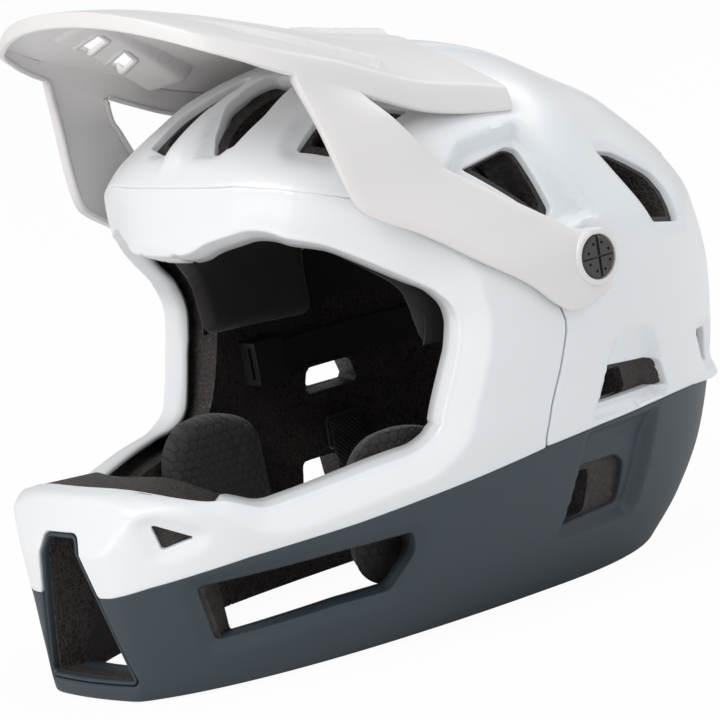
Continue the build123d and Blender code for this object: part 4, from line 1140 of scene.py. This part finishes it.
class Finish:
    """A material with one Principled shader, and a method that adds any other node."""
    def __init__(self, name, color, roughness, metallic=0.0):
        self.material = bpy.data.materials.new(name)
        self.material.use_nodes = True
        self.tree = self.material.node_tree
        self.shader = self.tree.nodes["Principled BSDF"]
        self.set(Base_Color=(*color, 1), Roughness=roughness, Metallic=metallic)
        self.spot = Wire(self.tree, self.tree.nodes.new("ShaderNodeTexCoord").outputs["Object"])

    def node(self, kind, settings=None, output=0, **values):
        """Adds a node. A value's name is its input's name, or an underscore and its input's number."""
        node = self.tree.nodes.new("ShaderNode" + kind)
        for name, value in (settings or {}).items():
            setattr(node, name, value)
        for name, value in values.items():
            plug(self.tree, node.inputs[int(name[1:]) if name[0] == "_" else name], value)
        return Wire(self.tree, node.outputs[output])

    def set(self, **values):
        for name, value in values.items():
            plug(self.tree, self.shader.inputs[name.replace("_", " ")], value)

    def noise(self, scale, detail=2.0, output=0):
        return self.node("TexNoise", output=output, Vector=self.spot, Scale=scale, Detail=detail)

    def parts(self):
        separate = self.node("SeparateXYZ", _0=self.spot).socket.node
        return [Wire(self.tree, socket) for socket in separate.outputs]

    def bump(self, height, distance, strength):
        self.set(Normal=self.node("Bump", Height=height, Distance=distance, Strength=strength))

    def blend(self, share, first, second):
        """A Mix of two colours by a share."""
        return self.node("Mix", {"data_type": "RGBA"}, 2, _0=share, _6=(*first, 1), _7=(*second, 1))


# %% [markdown]
# ## Paint and plastic
#
# Paint on a moulded skin is almost even. One broad noise moves its colour and gloss a little, and a fine one
# gives a faint grain, so that highlights don't look too clean. One function serves all the moulded parts.

# %% Painted and moulded skins
# colour, roughness, scale of the grain, and depth of the grain in metres
PAINTED = {
    "shell_white": ((0.80, 0.825, 0.845), 0.34, 1400.0, 0.00004),
    "visor_grey": ((0.775, 0.755, 0.745), 0.42, 1800.0, 0.00005),
    "shell_slate": ((0.030, 0.044, 0.055), 0.46, 2200.0, 0.00007),
    "plastic_black": ((0.018, 0.018, 0.019), 0.5, 1600.0, 0.00008),
    "screw_grey": ((0.045, 0.043, 0.042), 0.42, 1600.0, 0.00006),
    "button_red": ((0.35, 0.03, 0.02), 0.4, 1600.0, 0.00006),
    "rubber_black": ((0.014, 0.014, 0.014), 0.75, 1200.0, 0.0001),
    "slip_grey": ((0.02, 0.02, 0.021), 0.55, 900.0, 0.00005),
    "tab_yellow": ((0.50, 0.58, 0.015), 0.45, 900.0, 0.00005),
}


def painted(name, color, roughness, grain, depth):
    """A painted or moulded skin: a broad, faint change of colour and gloss, and a fine even grain."""
    finish = Finish(name, color, roughness)
    broad, fine = finish.noise(9.0), finish.noise(grain)
    finish.set(Base_Color=finish.blend(broad, tuple(c * 0.965 for c in color), color),
               Roughness=roughness + (fine - 0.5) * 0.10 + (broad - 0.5) * 0.06)
    finish.bump(fine, depth, 0.35)
    return finish


finishes = {name: painted(name, *numbers) for name, numbers in PAINTED.items()}
finishes["shell_white"].set(Coat_Weight=0.25, Coat_Roughness=0.25)
print("skins finished")

# %% [markdown]
# ## The look of bead foam
#
# Beads pressed together are dark cells of 2.3 mm with paler seams. A Voronoi texture makes such cells at any
# scale, and the distance to a cell's edge gives both the seams and the bump.

# %% Bead foam
BEAD_SCALE, BEAD_WARP = 430.0, 0.0022
foam_dark = Finish("foam_dark", (0.03, 0.025, 0.023), 0.6)
bent = foam_dark.node("VectorMath", {"operation": "SCALE"}, _0=foam_dark.noise(120.0, output=1),
                      Scale=BEAD_WARP)
bead_spot = foam_dark.node("VectorMath", {"operation": "ADD"}, _0=foam_dark.spot, _1=bent)
seam = foam_dark.node("TexVoronoi", {"feature": "DISTANCE_TO_EDGE"}, Vector=bead_spot, Scale=BEAD_SCALE)
bead = foam_dark.node("TexVoronoi", {"feature": "F1"}, 1, Vector=bead_spot, Scale=BEAD_SCALE)
tone = foam_dark.node("SeparateColor", _0=bead)
raised = (seam * 9.0).least(1.0)
foam_dark.set(Base_Color=foam_dark.blend(raised * (0.55 + tone * 0.45), (0.062, 0.048, 0.044),
                                         (0.012, 0.009, 0.009)),
              Roughness=0.72 - raised * 0.2)
foam_dark.bump(raised, 0.0004, 0.7)

# %% [markdown]
# ## Pad fabric and webbing
#
# The pads are black knit pressed into hexagons 4.4 mm across, and plain on the brow and crown. Two offset
# grids of rectangles hold every hexagon's middle, and the nearer middle gives the place in its hexagon.
# Webbing shows a slanting rib.

# %% Fabrics
HEXAGON, PLAIN_ABOVE = 0.0044, 0.105


def hexagons(finish, size):
    """How far a place is from the side of its hexagon, from the nearer middle of two grids: half the size
    less the greater of |u| and |u|/2 + 0.866 |v|."""
    x, y, z = finish.parts()
    u, v = y / size, (z + x * 0.4) / size
    tall = math.sqrt(3.0)
    first = [u.fraction() - 0.5, ((v / tall).fraction() - 0.5) * tall]
    second = [(u + 0.5).fraction() - 0.5, ((v / tall + 0.5).fraction() - 0.5) * tall]
    length = [pair[0] * pair[0] + pair[1] * pair[1] for pair in (first, second)]
    nearer = length[1].above(length[0])
    place = [first[k] * nearer + second[k] * (1 - nearer) for k in (0, 1)]
    level = place[0].size()
    return 0.5 - level.most(level * 0.5 + place[1].size() * 0.8660254)


pad_fabric = Finish("pad_fabric", (0.02, 0.02, 0.021), 0.8)
plain = pad_fabric.parts()[2].above(PLAIN_ABOVE)
cell = (hexagons(pad_fabric, HEXAGON) * 7.0).least(1.0).most(plain)
knit = pad_fabric.noise(2600.0)
pad_fabric.set(Base_Color=pad_fabric.blend(cell * 0.7 + knit * 0.3, (0.007, 0.006, 0.006),
                                           (0.030, 0.027, 0.026)),
               Sheen_Weight=0.25, Roughness=0.9 - knit * 0.2)
pad_fabric.bump(cell + knit * 0.35, 0.0005, 0.7)

webbing_black = Finish("webbing_black", (0.015, 0.015, 0.016), 0.75)
x, y, z = webbing_black.parts()
rib = ((y * 2600.0 + z * 2600.0 + x * 900.0).wave() + 1.0) * 0.5
webbing_black.set(Base_Color=webbing_black.blend(rib, (0.006, 0.006, 0.006), (0.03, 0.03, 0.031)),
                  Roughness=0.85 - rib * 0.2)
webbing_black.bump(rib, 0.0003, 0.9)


def metal(name, color, roughness):
    finish = Finish(name, color, roughness, 1.0)
    fine = finish.noise(900.0, 3.0)
    finish.set(Roughness=roughness + (fine - 0.5) * 0.2)
    finish.bump(fine, 0.00003, 0.4)
    return finish


finishes.update(foam_dark=foam_dark, pad_fabric=pad_fabric, webbing_black=webbing_black,
                steel_grey=metal("steel_grey", (0.55, 0.55, 0.56), 0.35),
                insert_brass=metal("insert_brass", (0.72, 0.55, 0.27), 0.32))
print("fabrics and metals finished")

# %% [markdown]
# ## Who wears which finish
#
# Each new piece takes one finish. The CAD pieces that stay, such as the screws, buckle and fit system, take
# theirs from the record's own slot names, so both halves of the model agree.

# %% Give out the finishes
for node, piece in frame["nodes"].items():
    slot_name = next(part["material_slot"] for part in frame["record"]["subparts"] if part["node"] == node)
    material = finishes[slot_name].material
    if piece.material_slots:
        for place in piece.material_slots:
            place.material = material
    else:
        piece.data.materials.append(material)
for piece in list(bpy.data.objects):
    if piece.type == "MESH" and "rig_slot" in piece and not piece.material_slots:
        piece.data.materials.append(finishes[piece["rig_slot"]].material)
print(len(finishes), "finishes")

# %% [markdown]
# ## Floor and light
#
# The picture's ground is white. The floor is matt and pale, and seen by the camera it is mostly a plain white
# glow, so it stays even and still takes a soft shadow. Four large lamps and a pale sky light the helmet.

# %% Floor, sky and lamps
FLOOR_HALF, FLOOR_LEVEL, FLOOR_GLOW, SKY = 6, -0.0005, 0.955, 0.54


def ray(tree, kind):
    return Wire(tree, tree.nodes.new("ShaderNodeLightPath").outputs[kind])


def mixed(tree, share, first, second, output):
    """Two shaders mixed by a share, which becomes what the tree gives out."""
    both = tree.nodes.new("ShaderNodeMixShader")
    for slot, socket in zip(both.inputs, (share.socket, first, second)):
        tree.links.new(socket, slot)
    tree.links.new(both.outputs[0], tree.nodes[output].inputs[0])


def background(node, color, strength):
    node.inputs[0].default_value, node.inputs[1].default_value = (*color, 1), strength
    return node.outputs[0]


def lamp(name, place, target, size, power, color=(1, 1, 1)):
    data = bpy.data.lights.new(name, "AREA")
    data.shape, data.size, data.size_y = "RECTANGLE", size[0], size[1]
    data.energy, data.color = power, color
    light = bpy.data.objects.new(name, data)
    aim = mathutils.Vector(target) - mathutils.Vector(place)
    light.rotation_mode = "QUATERNION"
    light.rotation_quaternion = aim.to_track_quat("-Z", "Y")
    light.location = place
    bpy.context.scene.collection.objects.link(light)


floor_mesh = bpy.data.meshes.new("floor")
corners = [(FLOOR_HALF * a, FLOOR_HALF * b, 0) for a, b in ((-1, -1), (1, -1), (1, 1), (-1, 1))]
floor_mesh.from_pydata(corners, [], [(0, 1, 2, 3)])
floor = bpy.data.objects.new("floor", floor_mesh)
floor.location = (0, 0, FLOOR_LEVEL)
bpy.context.scene.collection.objects.link(floor)
ground = Finish("ground", (0.86, 0.86, 0.86), 0.9)
glow = ground.node("Emission", Color=(1, 1, 1, 1), Strength=1.0)
mixed(ground.tree, ray(ground.tree, "Is Camera Ray") * FLOOR_GLOW, ground.shader.outputs[0], glow.socket,
      "Material Output")
floor_mesh.materials.append(ground.material)

world = bpy.data.worlds.new("studio")
world.use_nodes = True
bpy.context.scene.world = world
tree = world.node_tree
seen = ray(tree, "Is Camera Ray").most(ray(tree, "Is Transmission Ray"))
mixed(tree, seen, background(tree.nodes["Background"], (0.96, 0.98, 1.0), SKY),
      background(tree.nodes.new("ShaderNodeBackground"), (1, 1, 1), 1.0), "World Output")

lamp("key", (0.2, -1.9, 2.2), (0, 0, 0.15), (1.3, 1.0), 37)
lamp("fill", (2.2, 0.3, 1.2), (0, 0, 0.15), (1.4, 1.6), 8.5)
lamp("rim", (0.2, 1.8, 1.6), (0, 0, 0.2), (1.6, 0.8), 12)
lamp("low", (-0.2, -2.0, 0.12), (0, -0.1, 0.25), (1.4, 0.3), 6, (1.0, 0.86, 0.79))
bpy.context.scene.view_settings.view_transform = "Standard"
